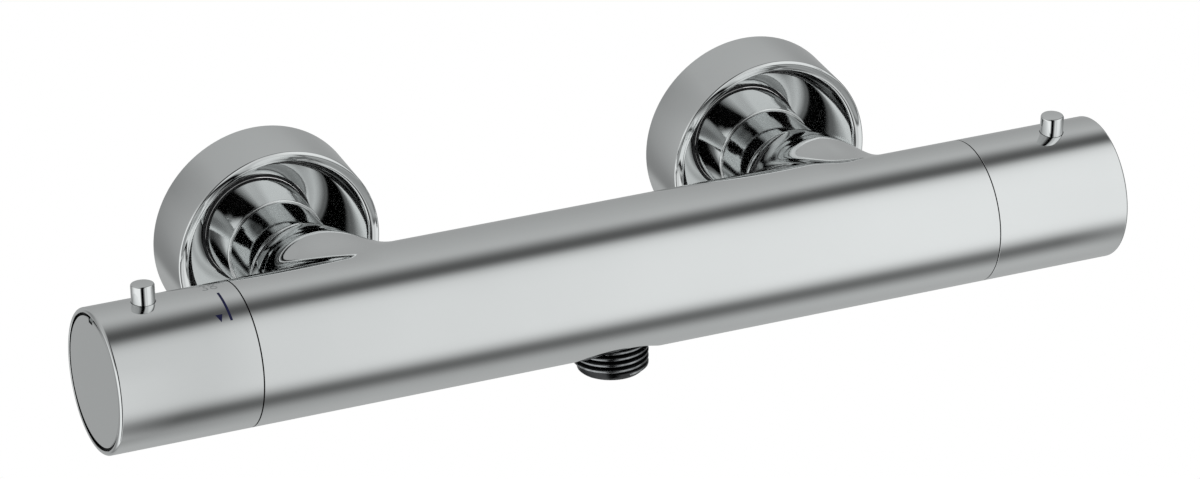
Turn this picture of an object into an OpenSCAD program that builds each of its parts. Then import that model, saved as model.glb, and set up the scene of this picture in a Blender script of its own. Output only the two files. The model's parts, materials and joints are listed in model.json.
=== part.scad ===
// Exposed thermostatic bar valve for a shower, with two handles, S-unions and rosettes.
// Lengths are millimetres. X runs along the bar with the temperature handle at -X,
// Y points into the wall and Z is up. The origin lies on the wall face, midway between
// the two wall threads.

/* [Bar] */
// Diameter of the bar, shared by the body and both handles
bar_d = 40; // [39.6:0.2:42]
// Length of the valve body between its two end faces
body_len = 220; // [216:1:232]
// Length of one handle with its seam gap
handle_len = 40; // [39:0.5:44]
// Gap between the body and each handle
seam_gap = 0.5; // [0.3:0.1:0.8]
// How far the cold channel's spine stands out behind the round bar
spine_out = 4; // [3.6:0.1:5]
// Length of the spine's run at full height
spine_len = 128; // [120:1:136]
// Length over which each end of the spine fades into the bar
spine_fade = 24; // [18:1:30]

/* [Inlets] */
// Distance between the centres of the two inlets
inlet_pitch = 150; // [148:1:154]
// Distance from the bar axis to the flat face of each inlet boss
boss_reach = 42; // [41:0.5:46]
// Diameter of the inlet boss at its face
boss_d = 28.6; // [28.2:0.1:30]
// How far the boss's flare reaches along the bar from the boss axis
boss_flare_reach = 25; // [21:0.5:30]
// Half of the angle round the bar that the boss's flare covers
boss_flare_angle = 72; // [60:1:78]
// Slope at which the flare leaves the boss's face
boss_flare_slope = 0.342; // [0.25:0.002:0.45]
// Outer diameter of the distance collar between boss and nut
collar_d = 27.8; // [26.5:0.1:28.4]
// Length of the distance collar
collar_len = 15; // [13:0.5:20]
// Wall of the round union nut outside its thread
nut_wall = 2.03; // [1.7:0.01:2.9]
// Length of the union nut
nut_len = 14.5; // [14:0.5:17]
// Width of the edge break at the nut's front
nut_chamfer = 0.6; // [0.3:0.1:1]
// Outside diameter of the G 1/2 thread
g12_d = 20.955; // [20.9:0.005:21]
// Outside diameter of the G 3/4 thread
g34_d = 26.441; // [26.3:0.001:26.6]
// How far each wall thread lies below the bar's inlet axis
union_offset = 6; // [3:0.5:8]
// Thickness of the union's eccentric disc
union_disc_t = 4; // [3:0.5:5]
// Length of the thread that screws into the wall
wall_thread_len = 14; // [10:0.5:18]
// Width of the edge break at the end of a male thread
thread_chamfer = 0.8; // [0.5:0.1:1.2]
// Bore of the unions
union_bore_d = 14.8; // [13:0.2:16]

/* [Rosettes] */
// Diameter of the rosette on the wall
rosette_d = 61.2; // [58:0.2:64]
// How far the rosette tapers in from the wall to its lip
rosette_taper = 0.9; // [0.3:0.1:1.5]
// Depth of the rosette from the wall to its lip
rosette_depth = 17.8; // [16:0.2:20]
// Thickness of the rosette's sheet
rosette_wall = 1.8; // [1.4:0.1:2.2]
// Radius of the bowl's hollow, as a share of the room beside its hub
bowl_share = 0.953; // [0.7:0.001:1]
// Height of the bowl's floor above the wall
bowl_floor = 4.6; // [4.2:0.1:5.4]
// How far a rosette slides off the wall
rosette_travel = 20; // [14:1:20]

/* [Check valves] */
// Diameter of the check valve housing
check_d = 15.8; // [15.4:0.1:16]
// Length of the check valve housing
check_len = 17; // [16:0.5:18]
// Diameter of the check valve's poppet
poppet_d = 11; // [10.6:0.2:11.4]
// Opening stroke of the poppet
poppet_stroke = 3; // [2:0.5:3.5]

/* [Outlet] */
// How far the outlet thread reaches below the bar axis
outlet_reach = 25.9; // [25.2:0.1:28]
// Bore of the outlet nipple
outlet_bore_d = 13; // [12:0.2:14]
// Diameter of the recess that takes a hose nut
outlet_recess_d = 28.4; // [26:0.2:30]
// Depth of that recess, measured from the bar's lowest line
outlet_recess_depth = 6; // [5:0.2:6.4]

/* [Thermostatic cartridge] */
// Diameter of the bore that holds the cartridge
cavity_d = 28; // [27.6:0.1:28.4]
// Length of the cartridge housing inside the body
cartridge_len = 52; // [51:0.5:56]
// Bore of the cartridge housing
cartridge_bore_d = 22; // [21.8:0.1:22.4]
// Diameter of the wax element's bulb
wax_d = 10; // [9:0.2:11]
// Length of the shuttle that opens one port as it shuts the other
shuttle_len = 10; // [9:0.5:10]

/* [Flow headwork] */
// Diameter of the ceramic discs
disc_d = 18; // [17.6:0.1:18.2]
// Thickness of each ceramic disc
disc_t = 3; // [2.6:0.1:3.4]
// Opening angle of each of the disc's two windows
disc_window_angle = 80; // [60:2:84]

/* [Handles] */
// Wall of the handle shell
handle_wall = 2.2; // [1.8:0.1:2.4]
// Edge radius at the outer end of the handle
handle_edge_r = 1; // [0.5:0.1:1.2]
// Wall of the rim round the cap
rim_wall = 1.3; // [1.2:0.1:1.5]
// Groove between the rim and the cap
cap_gap = 0.85; // [0.4:0.05:1.2]
// Thickness of the cap's plate
cap_t = 1.5; // [1.2:0.1:1.6]
// Width of the pry notch in the cap
notch_w = 2.7; // [1.5:0.1:3.5]
// Depth of the pry notch
notch_depth = 1.4; // [0.8:0.1:1.8]
// Thickness of the web that carries the hub
web_t = 4.5; // [4:0.1:5]
// Number of splines between spindle and handle
spline_count = 20; // [16:2:24]
// Angle of the temperature button at rest, from the front through the top
temperature_button_angle = 94.5; // [60:0.5:120]
// Angle of the flow button at rest, from the front through the top
flow_button_angle = 86.5; // [60:0.5:120]
// Travel of the temperature handle towards cold
cold_travel = 150; // [120:5:150]
// Travel of the temperature handle towards hot
hot_travel = 75; // [50:5:75]
// Travel of the flow handle from shut to open
flow_travel = 90; // [60:5:90]

/* [Buttons] */
// Diameter of each button
button_d = 6.5; // [6:0.1:7]
// Height of the button above the handle
button_proud = 5; // [4:0.5:7]
// Stroke of the button
button_stroke = 2.2; // [1.5:0.1:2.2]
// Distance of the button's axis from the handle's outer end
button_from_end = 15; // [14:0.1:16]
// Edge break at the button's top
button_bevel = 0.5; // [0.2:0.1:0.9]

/* [Hidden] */
$fn = 96;
// Clearances: running fit, seated fit, flat faces, curved faces and open gaps
run_fit = 0.06;
slip_fit = 0.05;
face_gap = 0.1;
clear = 0.3;
open_gap = 0.6;
// Overrun of every cut
over = 1;
// Finishes
chrome = [0.78, 0.79, 0.8];
brass = [0.8, 0.66, 0.36];
steel = [0.62, 0.63, 0.65];
plastic = [0.85, 0.85, 0.82];
rubber = [0.12, 0.12, 0.13];
ceramic = [0.95, 0.94, 0.9];

// Bar and threads
bar_r = bar_d / 2;
end_x = body_len / 2;
inlet_x = inlet_pitch / 2;
g12_r = g12_d / 2;
g34_r = g34_d / 2;

// Inlet boss and its bores, measured from the bar axis towards the wall
boss_r = boss_d / 2;
boss_edge = 0.4;
face_share = (boss_r - boss_edge) / boss_r;
flare_rim_share = 0.554;
flare_bar_share = 0.339;
inlet_shoulder = 2;
inlet_depth = 4.1;
inlet_bore_r = g12_r - inlet_shoulder;
inlet_floor = bar_r - inlet_depth;

// Union nut, tailpiece, washer and wall union
nut_lip = 2.4;
flange_t = 3;
flange_inset = 1.3;
washer_t = 2;
tail_thread_len = 11.5;
tail_key_af = 12;
disc_proud = 0.65;
nut_r = g34_r + slip_fit + nut_wall;
nut_start = boss_reach + collar_len + clear;
nut_end = nut_start + nut_len;
flange_from = nut_start + nut_lip;
flange_to = flange_from + flange_t;
union_start = flange_to + washer_t;
disc_start = nut_end + clear / 2;
wall_out = disc_start + disc_proud;
disc_end = disc_start + union_disc_t;
thread_end = disc_end + wall_thread_len;
tail_tube_r = g12_r - 2 * slip_fit;
tail_flange_r = g34_r - flange_inset;
tail_start = boss_reach - tail_thread_len;
tail_bore_r = check_d / 2 + slip_fit;
nut_lip_r = tail_tube_r + clear;
shoulder_margin = 0.4;
union_disc_r = (g34_r + g12_r + union_offset) / 2 + shoulder_margin;
union_disc_shift = (g12_r + union_offset - g34_r) / 2;
union_floor = 0.3;
mesh_t = 0.5;
mesh_hole_r = 0.75;
mesh_step = 2.4;
mesh_rows = 2;

// Check valve: the seat is at the wall side and the guide at the body side
check_set_back = 0.8;
check_wall = 1.4;
check_seat_t = 2;
check_seat_lap = 1;
check_guide_t = 2;
check_guide_r = 3;
check_arm_w = 1.6;
stem_r = 1.42;
stem_past = 1.5;
poppet_t = 1.5;
check_spring_r = 2.3;
check_wire_r = 0.25;
check_r = check_d / 2;
check_in_r = check_r - check_wall;
check_end = flange_to - check_set_back;
check_start = check_end - check_len;
poppet_r = poppet_d / 2;
poppet_face = check_end - check_seat_t;
poppet_back = poppet_face - face_gap - poppet_t;

// Rosette and its rubber ring
rosette_hole_gap = 0.45;
rosette_hub_wall = 1.1;
ring_t = 2;
ring_w = 2;
ring_hold = 0.9;
rosette_r = rosette_d / 2;
lip_r = rosette_r - rosette_taper;
lip_round = rosette_wall / 2;
rosette_front = wall_out - rosette_depth;
rosette_hole_r = nut_r + rosette_hole_gap;
floor_front = wall_out - bowl_floor;
floor_back = floor_front + rosette_wall;
ring_from = floor_back - ring_hold;
ring_to = ring_from + ring_w;
ring_in_r = nut_r + run_fit;
ring_out_r = ring_in_r + ring_t;
rosette_hub_r = ring_out_r + rosette_hub_wall;
bowl_r = bowl_share * (lip_r - rosette_wall - rosette_hub_r);

// Spine and waterways
channel_wall = 2;
cold_channel_r = 3;
cold_channel_y = bar_r + spine_out - channel_wall - cold_channel_r;
cold_gate_r = 3;
hot_gate_r = 5;
mixed_r = 5.5;
return_channel_r = 2.9;
return_channel_y = 9;
return_channel_z = 11;

// Outlet, measured from the bar axis downwards
outlet_step = 0.9;
outlet_tail_len = 3.4;
outlet_chamber_h = 4;
outlet_ring_d = 1.4;
outlet_groove_w = 1.8;
outlet_groove_depth = 1.5;
outlet_floor = bar_r - outlet_recess_depth;
outlet_tail_r = g12_r - outlet_step;
outlet_top = outlet_floor - outlet_tail_len;
outlet_groove_at = (outlet_top + outlet_floor) / 2;
outlet_groove_r = outlet_tail_r - outlet_groove_depth;

// Cartridge cavity and housing, measured inwards from the end of the body
mouth_step = 1.2;
flange_at = 9;
housing_flange_t = 3;
housing_gap = 0.2;
cavity_rest = 0.5;
end_wall = 3.5;
neck_r = 9.5;
cavity_r = cavity_d / 2;
mouth_r = cavity_r + mouth_step;
mouth_len = flange_at + housing_flange_t;
housing_r = cavity_r - housing_gap;
housing_end = flange_at + cartridge_len;
cavity_len = housing_end + cavity_rest;
housing_bore_r = cartridge_bore_d / 2;
bore_start = flange_at + end_wall;
nut_proud = 2;
nut_slot_w = 3.5;
nut_slot_depth = 2;

// Spindle and regulating nut
spindle_r = 5;
spindle_thread_r = 4;
thrust_r = 8;
thrust_t = 2;
stem_through = 3;
nut_rest = 2.4;
nut_floor = 5;
regulator_len = 14;
regulator_wall = 2.2;
key_w = 3;
key_depth = 0.8;
key_ends = 2;
regulator_start = bore_start + thrust_t + nut_rest;
regulator_end = regulator_start + regulator_len;
regulator_r = housing_bore_r - open_gap;
cup_r = regulator_r - regulator_wall;
cup_floor = regulator_start + nut_floor;
stem_end = cup_floor + stem_through;

// Overtravel spring, plunger and clip
clip_t = 0.8;
clip_inset = 1.7;
clip_bite = 0.7;
clip_w = 2.1;
clip_gap_angle = 40;
plunger_t = 2;
pin_hole_depth = 1;
overtravel_r = 6.2;
overtravel_wire_r = 0.8;
clip_start = regulator_end - clip_inset;
plunger_start = clip_start - plunger_t - slip_fit;
pin_start = plunger_start + pin_hole_depth + slip_fit;

// Wax element, shuttle, return spring and seat ring
wax_pin_r = 1.6;
wax_neck_r = 4;
wax_flange_r = 6.2;
wax_flange_t = 3;
wax_bulb_len = 16;
shuttle_rest = 3;
shuttle_wall = 1.6;
shuttle_fit = 0.08;
shuttle_web_depth = 2;
shuttle_web_t = 2;
shuttle_hole_r = 1.2;
seat_ring_t = 4;
seat_bore_r = 6.5;
return_spring_r = 7.7;
return_wire_r = 0.7;
shuttle_start = regulator_end + shuttle_rest;
shuttle_end = shuttle_start + shuttle_len;
web_at = shuttle_start + shuttle_web_depth;
wax_flange_at = web_at + shuttle_web_t;
seat_ring_start = housing_end - seat_ring_t;

// Ports, gates and seals of the cartridge
port_len = 3.5;
port_w = 8;
port_edge = 0.5;
hot_gate_t = 32;
cold_gate_t = 49;
seal_reach = 7;
seal_past = 5;
oring_d = 1.7;
groove_w = 2.6;
groove_depth = 1.8;
land_w = 4.4;
relief_depth = 1.4;
hot_port = regulator_end + port_edge;
cold_port = shuttle_end - port_edge;
groove_r = cavity_r - groove_depth;
relief_r = cavity_r - relief_depth;
seal_shift = 0.5;
seal_1 = hot_gate_t - seal_reach;
seal_2 = (hot_gate_t + cold_gate_t) / 2 - seal_shift;
seal_3 = cold_gate_t + seal_past;

// Flow headwork, measured inwards from the end of the body
head_mouth_r = 13.6;
head_mouth_len = 12;
head_collar_at = 6;
head_thread_len = 7;
head_skirt_gap = 0.2;
head_seat = 35;
chamber_step = 2.1;
chamber_edge = 0.5;
chamber_len = 6.5;
seal_t = 4.2;
seal_wall = 2;
driver_r = 7.5;
driver_w = 5.6;
driver_t = 3;
tang_w = 3;
tang_len = 12;
tang_h = 1.5;
window_rim = 1.6;
window_hub_r = 1.2;
head_window_w = 9;
disc_r = disc_d / 2;
head_bore_r = disc_r + run_fit;
head_collar_r = head_mouth_r - 2 * housing_gap;
head_thread_end = head_mouth_len + head_thread_len;
chamber_start = head_thread_end + chamber_edge;
chamber_r = g12_r + chamber_step;
fixed_disc_start = head_seat - seal_t - disc_t;
moving_disc_start = fixed_disc_start - disc_t - face_gap;
driver_start = moving_disc_start - driver_t;
head_bore_start = driver_start - face_gap;

// Handle, measured outwards from the end of the body
spigot_len = 1.7;
spigot_inset = 1.2;
spigot_wall = 1.4;
cap_recess = 0.2;
cap_bevel = 0.35;
web_gap = 1.1;
hub_r = 9;
hub_len = 7.5;
hub_end_t = 1.7;
handle_in_r = bar_r - handle_wall;
cap_seat_r = bar_r - rim_wall;
cap_r = cap_seat_r - cap_gap;
spigot_r = cap_r - spigot_inset;
cap_plate = handle_len - cap_recess - cap_t;
web_front = cap_plate - spigot_len - web_gap;
web_back = web_front - web_t;
hub_back = web_front - hub_len;

// Splined adapter and handle screw
adapter_r = 7;
spline_r = 4.95;
spline_tooth = 0.35;
screw_r = 2.5;
screw_head_r = 4.5;
screw_head_t = 2.3;
screw_len = 9;
screw_key_af = 3;
screw_key_depth = 1.4;
adapter_end = web_front - hub_end_t;

// Button, its tower, catch and spring
tower_wall = 1.1;
tower_floor_t = 1.8;
catch_t = 2.2;
catch_w = 3;
catch_reach = 6.7;
button_hole_r = 2.2;
button_step = 0.55;
spring_room = 1.2;
button_spring_r = 1.65;
button_wire_r = 0.25;
button_r = button_d / 2;
button_bore_r = button_r + run_fit;
button_at = handle_len - button_from_end;
tower_r = button_bore_r + tower_wall;
spigot_in_r = button_r - button_step;

// Stop ring on the neck
stop_gap = 0.4;
stop_rim_len = 5.7;
stop_disc_t = 4;
stop_rim_gap = 0.7;
stop_rim_wall = 1.5;
neck_past = 2;
stop_margin = 8;
nose_span = 8;
nose_lead = 13;
rim_end = button_at - tower_r - stop_gap;
rim_face = rim_end - stop_rim_len;
stop_back = rim_face - stop_disc_t;
neck_end = rim_face + neck_past;
rim_r = handle_in_r - stop_rim_gap;
rim_in_r = rim_r - stop_rim_wall;
catch_top = rim_in_r - open_gap;
catch_low = catch_top - catch_t;
tower_floor = catch_low - button_stroke - spring_room;
tower_low = tower_floor - tower_floor_t;

// Frames

// Bar axis: X along the bar, Y towards the wall, Z up
module bar_frame() {
    translate([0, -wall_out, union_offset]) children();
}

// End of the bar: Z points out of the body, X is up and Y is to the front
module end_frame(side) {
    bar_frame() mirror([side < 0 ? 1 : 0, 0, 0])
        translate([end_x, 0, 0]) rotate([0, 90, 0]) rotate([0, 0, 180]) children();
}

// Inlet: Z points from the bar axis to the wall and Y is down
module inlet_frame(side) {
    bar_frame() translate([side * inlet_x, 0, 0]) rotate([-90, 0, 0]) children();
}

// Outlet: Z points down
module outlet_frame() {
    bar_frame() rotate([180, 0, 0]) children();
}

// Angle round the bar, from the front through the top, in an end frame
module at_angle(phi) {
    rotate([0, 0, 90 - phi]) children();
}

// Button: Z points out of the handle and X back to the body
module button_frame(side, phi) {
    end_frame(side) at_angle(phi) translate([0, 0, button_at]) rotate([0, 90, 0]) children();
}

// Building blocks

module turned(profile) {
    rotate_extrude() polygon(profile);
}

module rod(r, from, to) {
    translate([0, 0, from]) cylinder(r = r, h = to - from);
}

module tube(r_out, r_in, from, to) {
    turned([[r_in, from], [r_out, from], [r_out, to], [r_in, to]]);
}

module oring(inner_r, d, at) {
    translate([0, 0, at]) rotate_extrude() translate([inner_r + slip_fit + d / 2, 0])
        circle(r = d / 2, $fn = 32);
}

// Pie slice of a disc, centred on the local X axis
module slice(r, angle, from, to) {
    steps = 6;
    translate([0, 0, from]) linear_extrude(to - from) polygon(concat(
        [[0, 0]],
        [for (i = [0 : steps]) let (a = angle * (i / steps - 1 / 2)) [r * cos(a), r * sin(a)]]
    ));
}

// Round wire wound into an open coil between two heights
module coil(mean_r, wire_r, turns, from, to) {
    sides = 6;
    per_turn = 14;
    count = turns * per_turn;
    rise = to - from - 2 * wire_r;
    points = [for (i = [0 : count], j = [0 : sides - 1])
        let (a = 360 * i / per_turn, b = 360 * j / sides, r = mean_r + wire_r * cos(b))
        [r * cos(a), r * sin(a), from + wire_r + rise * i / count + wire_r * sin(b)]];
    walls = [for (i = [0 : count - 1], j = [0 : sides - 1])
        let (k = (j + 1) % sides, p = i * sides, q = p + sides)
        each [[p + j, q + j, q + k], [p + j, q + k, p + k]]];
    caps = [[for (j = [0 : sides - 1]) j], [for (j = [sides - 1 : -1 : 0]) count * sides + j]];
    polyhedron(points, concat(walls, caps));
}

// Toothed outline of a spline, grown by a fit
module spline_outline(fit) {
    root = spline_r - spline_tooth + fit;
    polygon([for (i = [0 : spline_count - 1], quarter = [0 : 3])
        let (a = 360 * (i + quarter / 4) / spline_count,
            r = quarter < 2 ? root + spline_tooth : root)
        [r * cos(a), r * sin(a)]]);
}

// Valve body

// Skin of one inlet boss: a flare lofted from the round face to the bar and its spine
module boss_skin() {
    sides = 48;
    arc_steps = 10;
    nudge = 0.01;
    spine_half = spine_len / 2;
    drop = spine_out + face_gap;
    // Radius of the spine at a distance from the bar's middle
    function spine_r(x) = bar_r
        - drop * (1 - cos(180 * max(0, min(1, (x - spine_half) / spine_fade)))) / 2;
    // Distance from the bar axis to the skin, at an angle from the rear
    function skin_reach(x, q) = max(bar_r,
        spine_out * cos(q) + sqrt(pow(spine_r(x), 2) - pow(spine_out * sin(q), 2))) - face_gap;
    function skin(x, q, sunk) = let (r = skin_reach(x, q) - sunk) [x - inlet_x, r * sin(q), r * cos(q)];
    function unit(v) = v / norm(v);
    points = [for (k = [-1 : arc_steps + 1], j = [0 : sides - 1])
        let (a = 360 * j / sides,
            x = inlet_x + boss_flare_reach * cos(a),
            q = boss_flare_angle * sin(a),
            from = [boss_r * cos(a), boss_r * sin(a), boss_reach - boss_edge],
            to = skin(x, q, 0),
            along = skin(x + nudge, q, 0) - skin(x - nudge, q, 0),
            across = skin(x, q + nudge, 0) - skin(x, q - nudge, 0),
            normal = unit(cross(along, across)),
            chord = from - to,
            far = norm(chord),
            leave = unit([boss_flare_slope * cos(a), boss_flare_slope * sin(a), -1]),
            arrive = unit(chord - (chord * normal) * normal),
            b = from + flare_rim_share * far * leave,
            c = to + flare_bar_share * far * arrive,
            t = k / arc_steps,
            u = 1 - t)
        k == -1 ? [from[0] * face_share, from[1] * face_share, boss_reach]
            : k > arc_steps ? skin(x, q, spine_out)
            : pow(u, 3) * from + 3 * u * u * t * b + 3 * u * t * t * c + pow(t, 3) * to];
    last = arc_steps + 2;
    walls = [for (i = [0 : last - 1], j = [0 : sides - 1])
        let (k = (j + 1) % sides, p = i * sides, q = p + sides)
        each [[p + j, q + k, q + j], [p + j, p + k, q + k]]];
    caps = [[for (j = [sides - 1 : -1 : 0]) j], [for (j = [0 : sides - 1]) last * sides + j]];
    polyhedron(points, concat(walls, caps));
}

// Rear spine that holds the cold channel, fading into the bar at both ends
module spine() {
    fade_steps = 6;
    half = spine_len / 2;
    drop = spine_out + face_gap;
    edge = [for (i = [0 : fade_steps]) let (u = i / fade_steps)
        [bar_r - drop * (1 - cos(180 * u)) / 2, half + spine_fade * u]];
    mirrored = [for (i = [fade_steps : -1 : 0]) [edge[i][0], -edge[i][1]]];
    translate([0, spine_out, 0]) rotate([0, 90, 0]) turned(concat(
        [[0, half + spine_fade], [0, -half - spine_fade]], mirrored, edge));
}

// Cut-outs at the temperature end, measured inwards
module cartridge_cavity() {
    rod(mouth_r, -over, mouth_len);
    rod(cavity_r, mouth_len - over, cavity_len);
    rod(mixed_r, cavity_len - over, body_len - head_seat + over);
}

// Cut-outs at the flow end, measured inwards
module headwork_cavity() {
    rod(head_mouth_r, -over, head_mouth_len);
    rod(g12_r + slip_fit, head_mouth_len - over, head_seat);
    rod(chamber_r, chamber_start, chamber_start + chamber_len);
}

module outlet_cavity() {
    rod(outlet_tail_r + slip_fit, outlet_top - outlet_chamber_h, outlet_floor + over);
    rod(outlet_recess_d / 2, outlet_floor, bar_r + over);
}

module inlet_cavity() {
    rod(g12_r + slip_fit, tail_start - clear, boss_reach + over);
    rod(inlet_bore_r, inlet_floor, tail_start);
}

module valve_body() {
    color(chrome) bar_frame() difference() {
        intersection() {
            union() {
                rotate([0, 90, 0]) cylinder(r = bar_r, h = body_len, center = true);
                spine();
                for (side = [0, 1]) mirror([side, 0, 0])
                    translate([inlet_x, 0, 0]) rotate([-90, 0, 0]) boss_skin();
            }
            rotate([0, 90, 0]) cylinder(r = boss_reach + over, h = body_len, center = true);
        }
        for (side = [-1, 1]) {
            translate([side * inlet_x, 0, 0]) rotate([-90, 0, 0]) inlet_cavity();
        }
        translate([-end_x, 0, 0]) rotate([0, 90, 0]) cartridge_cavity();
        translate([end_x, 0, 0]) rotate([0, -90, 0]) headwork_cavity();
        rotate([180, 0, 0]) outlet_cavity();
        // Gates that let hot and cold water into the cartridge cavity
        translate([hot_gate_t - end_x, 0, 0]) rotate([-90, 0, 0])
            rod(hot_gate_r, cavity_r - over, inlet_floor + over);
        translate([cold_gate_t - end_x, 0, 0]) rotate([-90, 0, 0])
            rod(cold_gate_r, cavity_r - over, cold_channel_y + over);
        // Cold channel in the spine, and the channel back to the outlet
        translate([0, cold_channel_y, 0]) rotate([0, 90, 0])
            rod(cold_channel_r, cold_gate_t - cold_gate_r - end_x, inlet_x);
        translate([0, -return_channel_y, -return_channel_z]) rotate([0, 90, 0])
            rod(return_channel_r, 0, end_x - chamber_start - over);
    }
}

// Outlet

module outlet_nipple() {
    bore_r = outlet_bore_d / 2;
    color(chrome) outlet_frame() difference() {
        turned([
            [bore_r, outlet_top],
            [outlet_tail_r, outlet_top],
            [outlet_tail_r, outlet_floor],
            [g12_r, outlet_floor],
            [g12_r, outlet_reach - thread_chamfer],
            [g12_r - thread_chamfer, outlet_reach],
            [bore_r, outlet_reach]
        ]);
        tube(g12_r, outlet_groove_r, outlet_groove_at - outlet_groove_w / 2,
            outlet_groove_at + outlet_groove_w / 2);
    }
}

module outlet_oring() {
    color(rubber) outlet_frame() oring(outlet_groove_r, outlet_ring_d, outlet_groove_at);
}

// Inlet pieces, the same on the hot and the cold side

module collar(side) {
    color(chrome) inlet_frame(side)
        tube(collar_d / 2, g12_r + slip_fit, boss_reach + slip_fit, boss_reach + collar_len);
}

module tailpiece(side) {
    color(brass) inlet_frame(side) difference() {
        turned([
            [0, tail_start],
            [g12_r, tail_start],
            [g12_r, boss_reach],
            [tail_tube_r, boss_reach],
            [tail_tube_r, flange_from],
            [tail_flange_r, flange_from],
            [tail_flange_r, flange_to],
            [0, flange_to]
        ]);
        rod(tail_bore_r, check_start, flange_to + over);
        // Hexagon socket for the key that screws the tailpiece in
        translate([0, 0, tail_start - over])
            cylinder(r = tail_key_af / sqrt(3), h = check_start - tail_start + 2 * over, $fn = 6);
    }
}

module union_nut(side) {
    thread_r = g34_r + slip_fit;
    color(chrome) inlet_frame(side) turned([
        [nut_lip_r, nut_start],
        [nut_r - nut_chamfer, nut_start],
        [nut_r, nut_start + nut_chamfer],
        [nut_r, nut_end],
        [thread_r, nut_end],
        [thread_r, flange_from],
        [nut_lip_r, flange_from]
    ]);
}

module filter_washer(side) {
    color(rubber) inlet_frame(side) difference() {
        union() {
            tube(tail_flange_r, union_bore_d / 2, flange_to, union_start);
            rod(union_bore_d / 2 + slip_fit, flange_to, flange_to + mesh_t);
        }
        for (row = [-mesh_rows : mesh_rows], k = [0 : 2 * mesh_rows - abs(row)]) {
            translate([mesh_step * (k - mesh_rows + abs(row) / 2), mesh_step * row * sin(60), 0])
                rod(mesh_hole_r, flange_to - over, flange_to + mesh_t + over, $fn = 24);
        }
    }
}

module wall_union(side) {
    bore_r = union_bore_d / 2;
    color(chrome) inlet_frame(side) difference() {
        union() {
            rod(g34_r, union_start, disc_start);
            translate([0, union_disc_shift, 0]) rod(union_disc_r, disc_start, disc_end);
            translate([0, union_offset, 0]) turned([
                [0, disc_end],
                [g12_r, disc_end],
                [g12_r, thread_end - thread_chamfer],
                [g12_r - thread_chamfer, thread_end],
                [0, thread_end]
            ]);
        }
        rod(bore_r, union_start - over, disc_end - union_floor);
        translate([0, union_offset, 0]) rod(bore_r, disc_start + union_floor, thread_end + over);
    }
}

// Rosette: a turned bowl with a rounded lip and a seat for the rubber ring
module rosette(side) {
    arc_steps = 8;
    bowl_at = floor_front - bowl_r;
    bowl_in = lip_r - rosette_wall - bowl_r;
    back_r = bowl_r + rosette_wall;
    skirt_in = rosette_r - rosette_wall;
    lip = [for (i = [0 : arc_steps]) let (a = 180 * i / arc_steps)
        [lip_r - lip_round + lip_round * cos(a),
            rosette_front + lip_round - lip_round * sin(a)]];
    bowl = [for (i = [0 : arc_steps]) let (a = 90 * i / arc_steps)
        [bowl_in + bowl_r * cos(a), bowl_at + bowl_r * sin(a)]];
    back = [for (i = [arc_steps : -1 : 0]) let (a = 90 * i / arc_steps)
        [bowl_in + back_r * cos(a), bowl_at + back_r * sin(a)]];
    color(chrome) inlet_frame(side) turned(concat(
        lip,
        bowl,
        [
            [rosette_hole_r, floor_front],
            [rosette_hole_r, ring_from],
            [ring_out_r, ring_from],
            [ring_out_r, ring_to],
            [rosette_hub_r, ring_to],
            [rosette_hub_r, floor_back]
        ],
        [for (p = back) if (p[0] < skirt_in) p],
        [
            [skirt_in, bowl_at + sqrt(pow(back_r, 2) - pow(skirt_in - bowl_in, 2))],
            [skirt_in, wall_out],
            [rosette_r, wall_out]
        ]
    ));
}

module rosette_ring(side) {
    color(rubber) inlet_frame(side)
        tube(ring_out_r - slip_fit, ring_in_r, ring_from + slip_fit, ring_to - slip_fit);
}

module check_housing(side) {
    guide_from = check_start + slip_fit;
    guide_to = check_start + check_guide_t;
    color(plastic) inlet_frame(side) difference() {
        union() {
            tube(check_r, check_in_r, guide_from, check_end);
            tube(check_in_r + slip_fit, poppet_r - check_seat_lap, poppet_face, check_end);
            rod(check_guide_r, guide_from, guide_to);
            for (a = [0, 120, 240]) rotate([0, 0, a])
                translate([0, -check_arm_w / 2, guide_from])
                    cube([check_in_r + slip_fit, check_arm_w, guide_to - guide_from]);
        }
        rod(stem_r + run_fit, check_start - over, guide_to + over);
    }
}

module check_poppet(side) {
    color(plastic) inlet_frame(side) {
        rod(poppet_r, poppet_back, poppet_back + poppet_t);
        rod(stem_r, check_start + check_guide_t - stem_past, poppet_back);
    }
}

module check_spring(side) {
    color(steel) inlet_frame(side) coil(check_spring_r, check_wire_r, 5,
        check_start + check_guide_t + slip_fit, poppet_back - slip_fit);
}

// Thermostatic cartridge, in the end frame, so that places inside the body are negative

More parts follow.
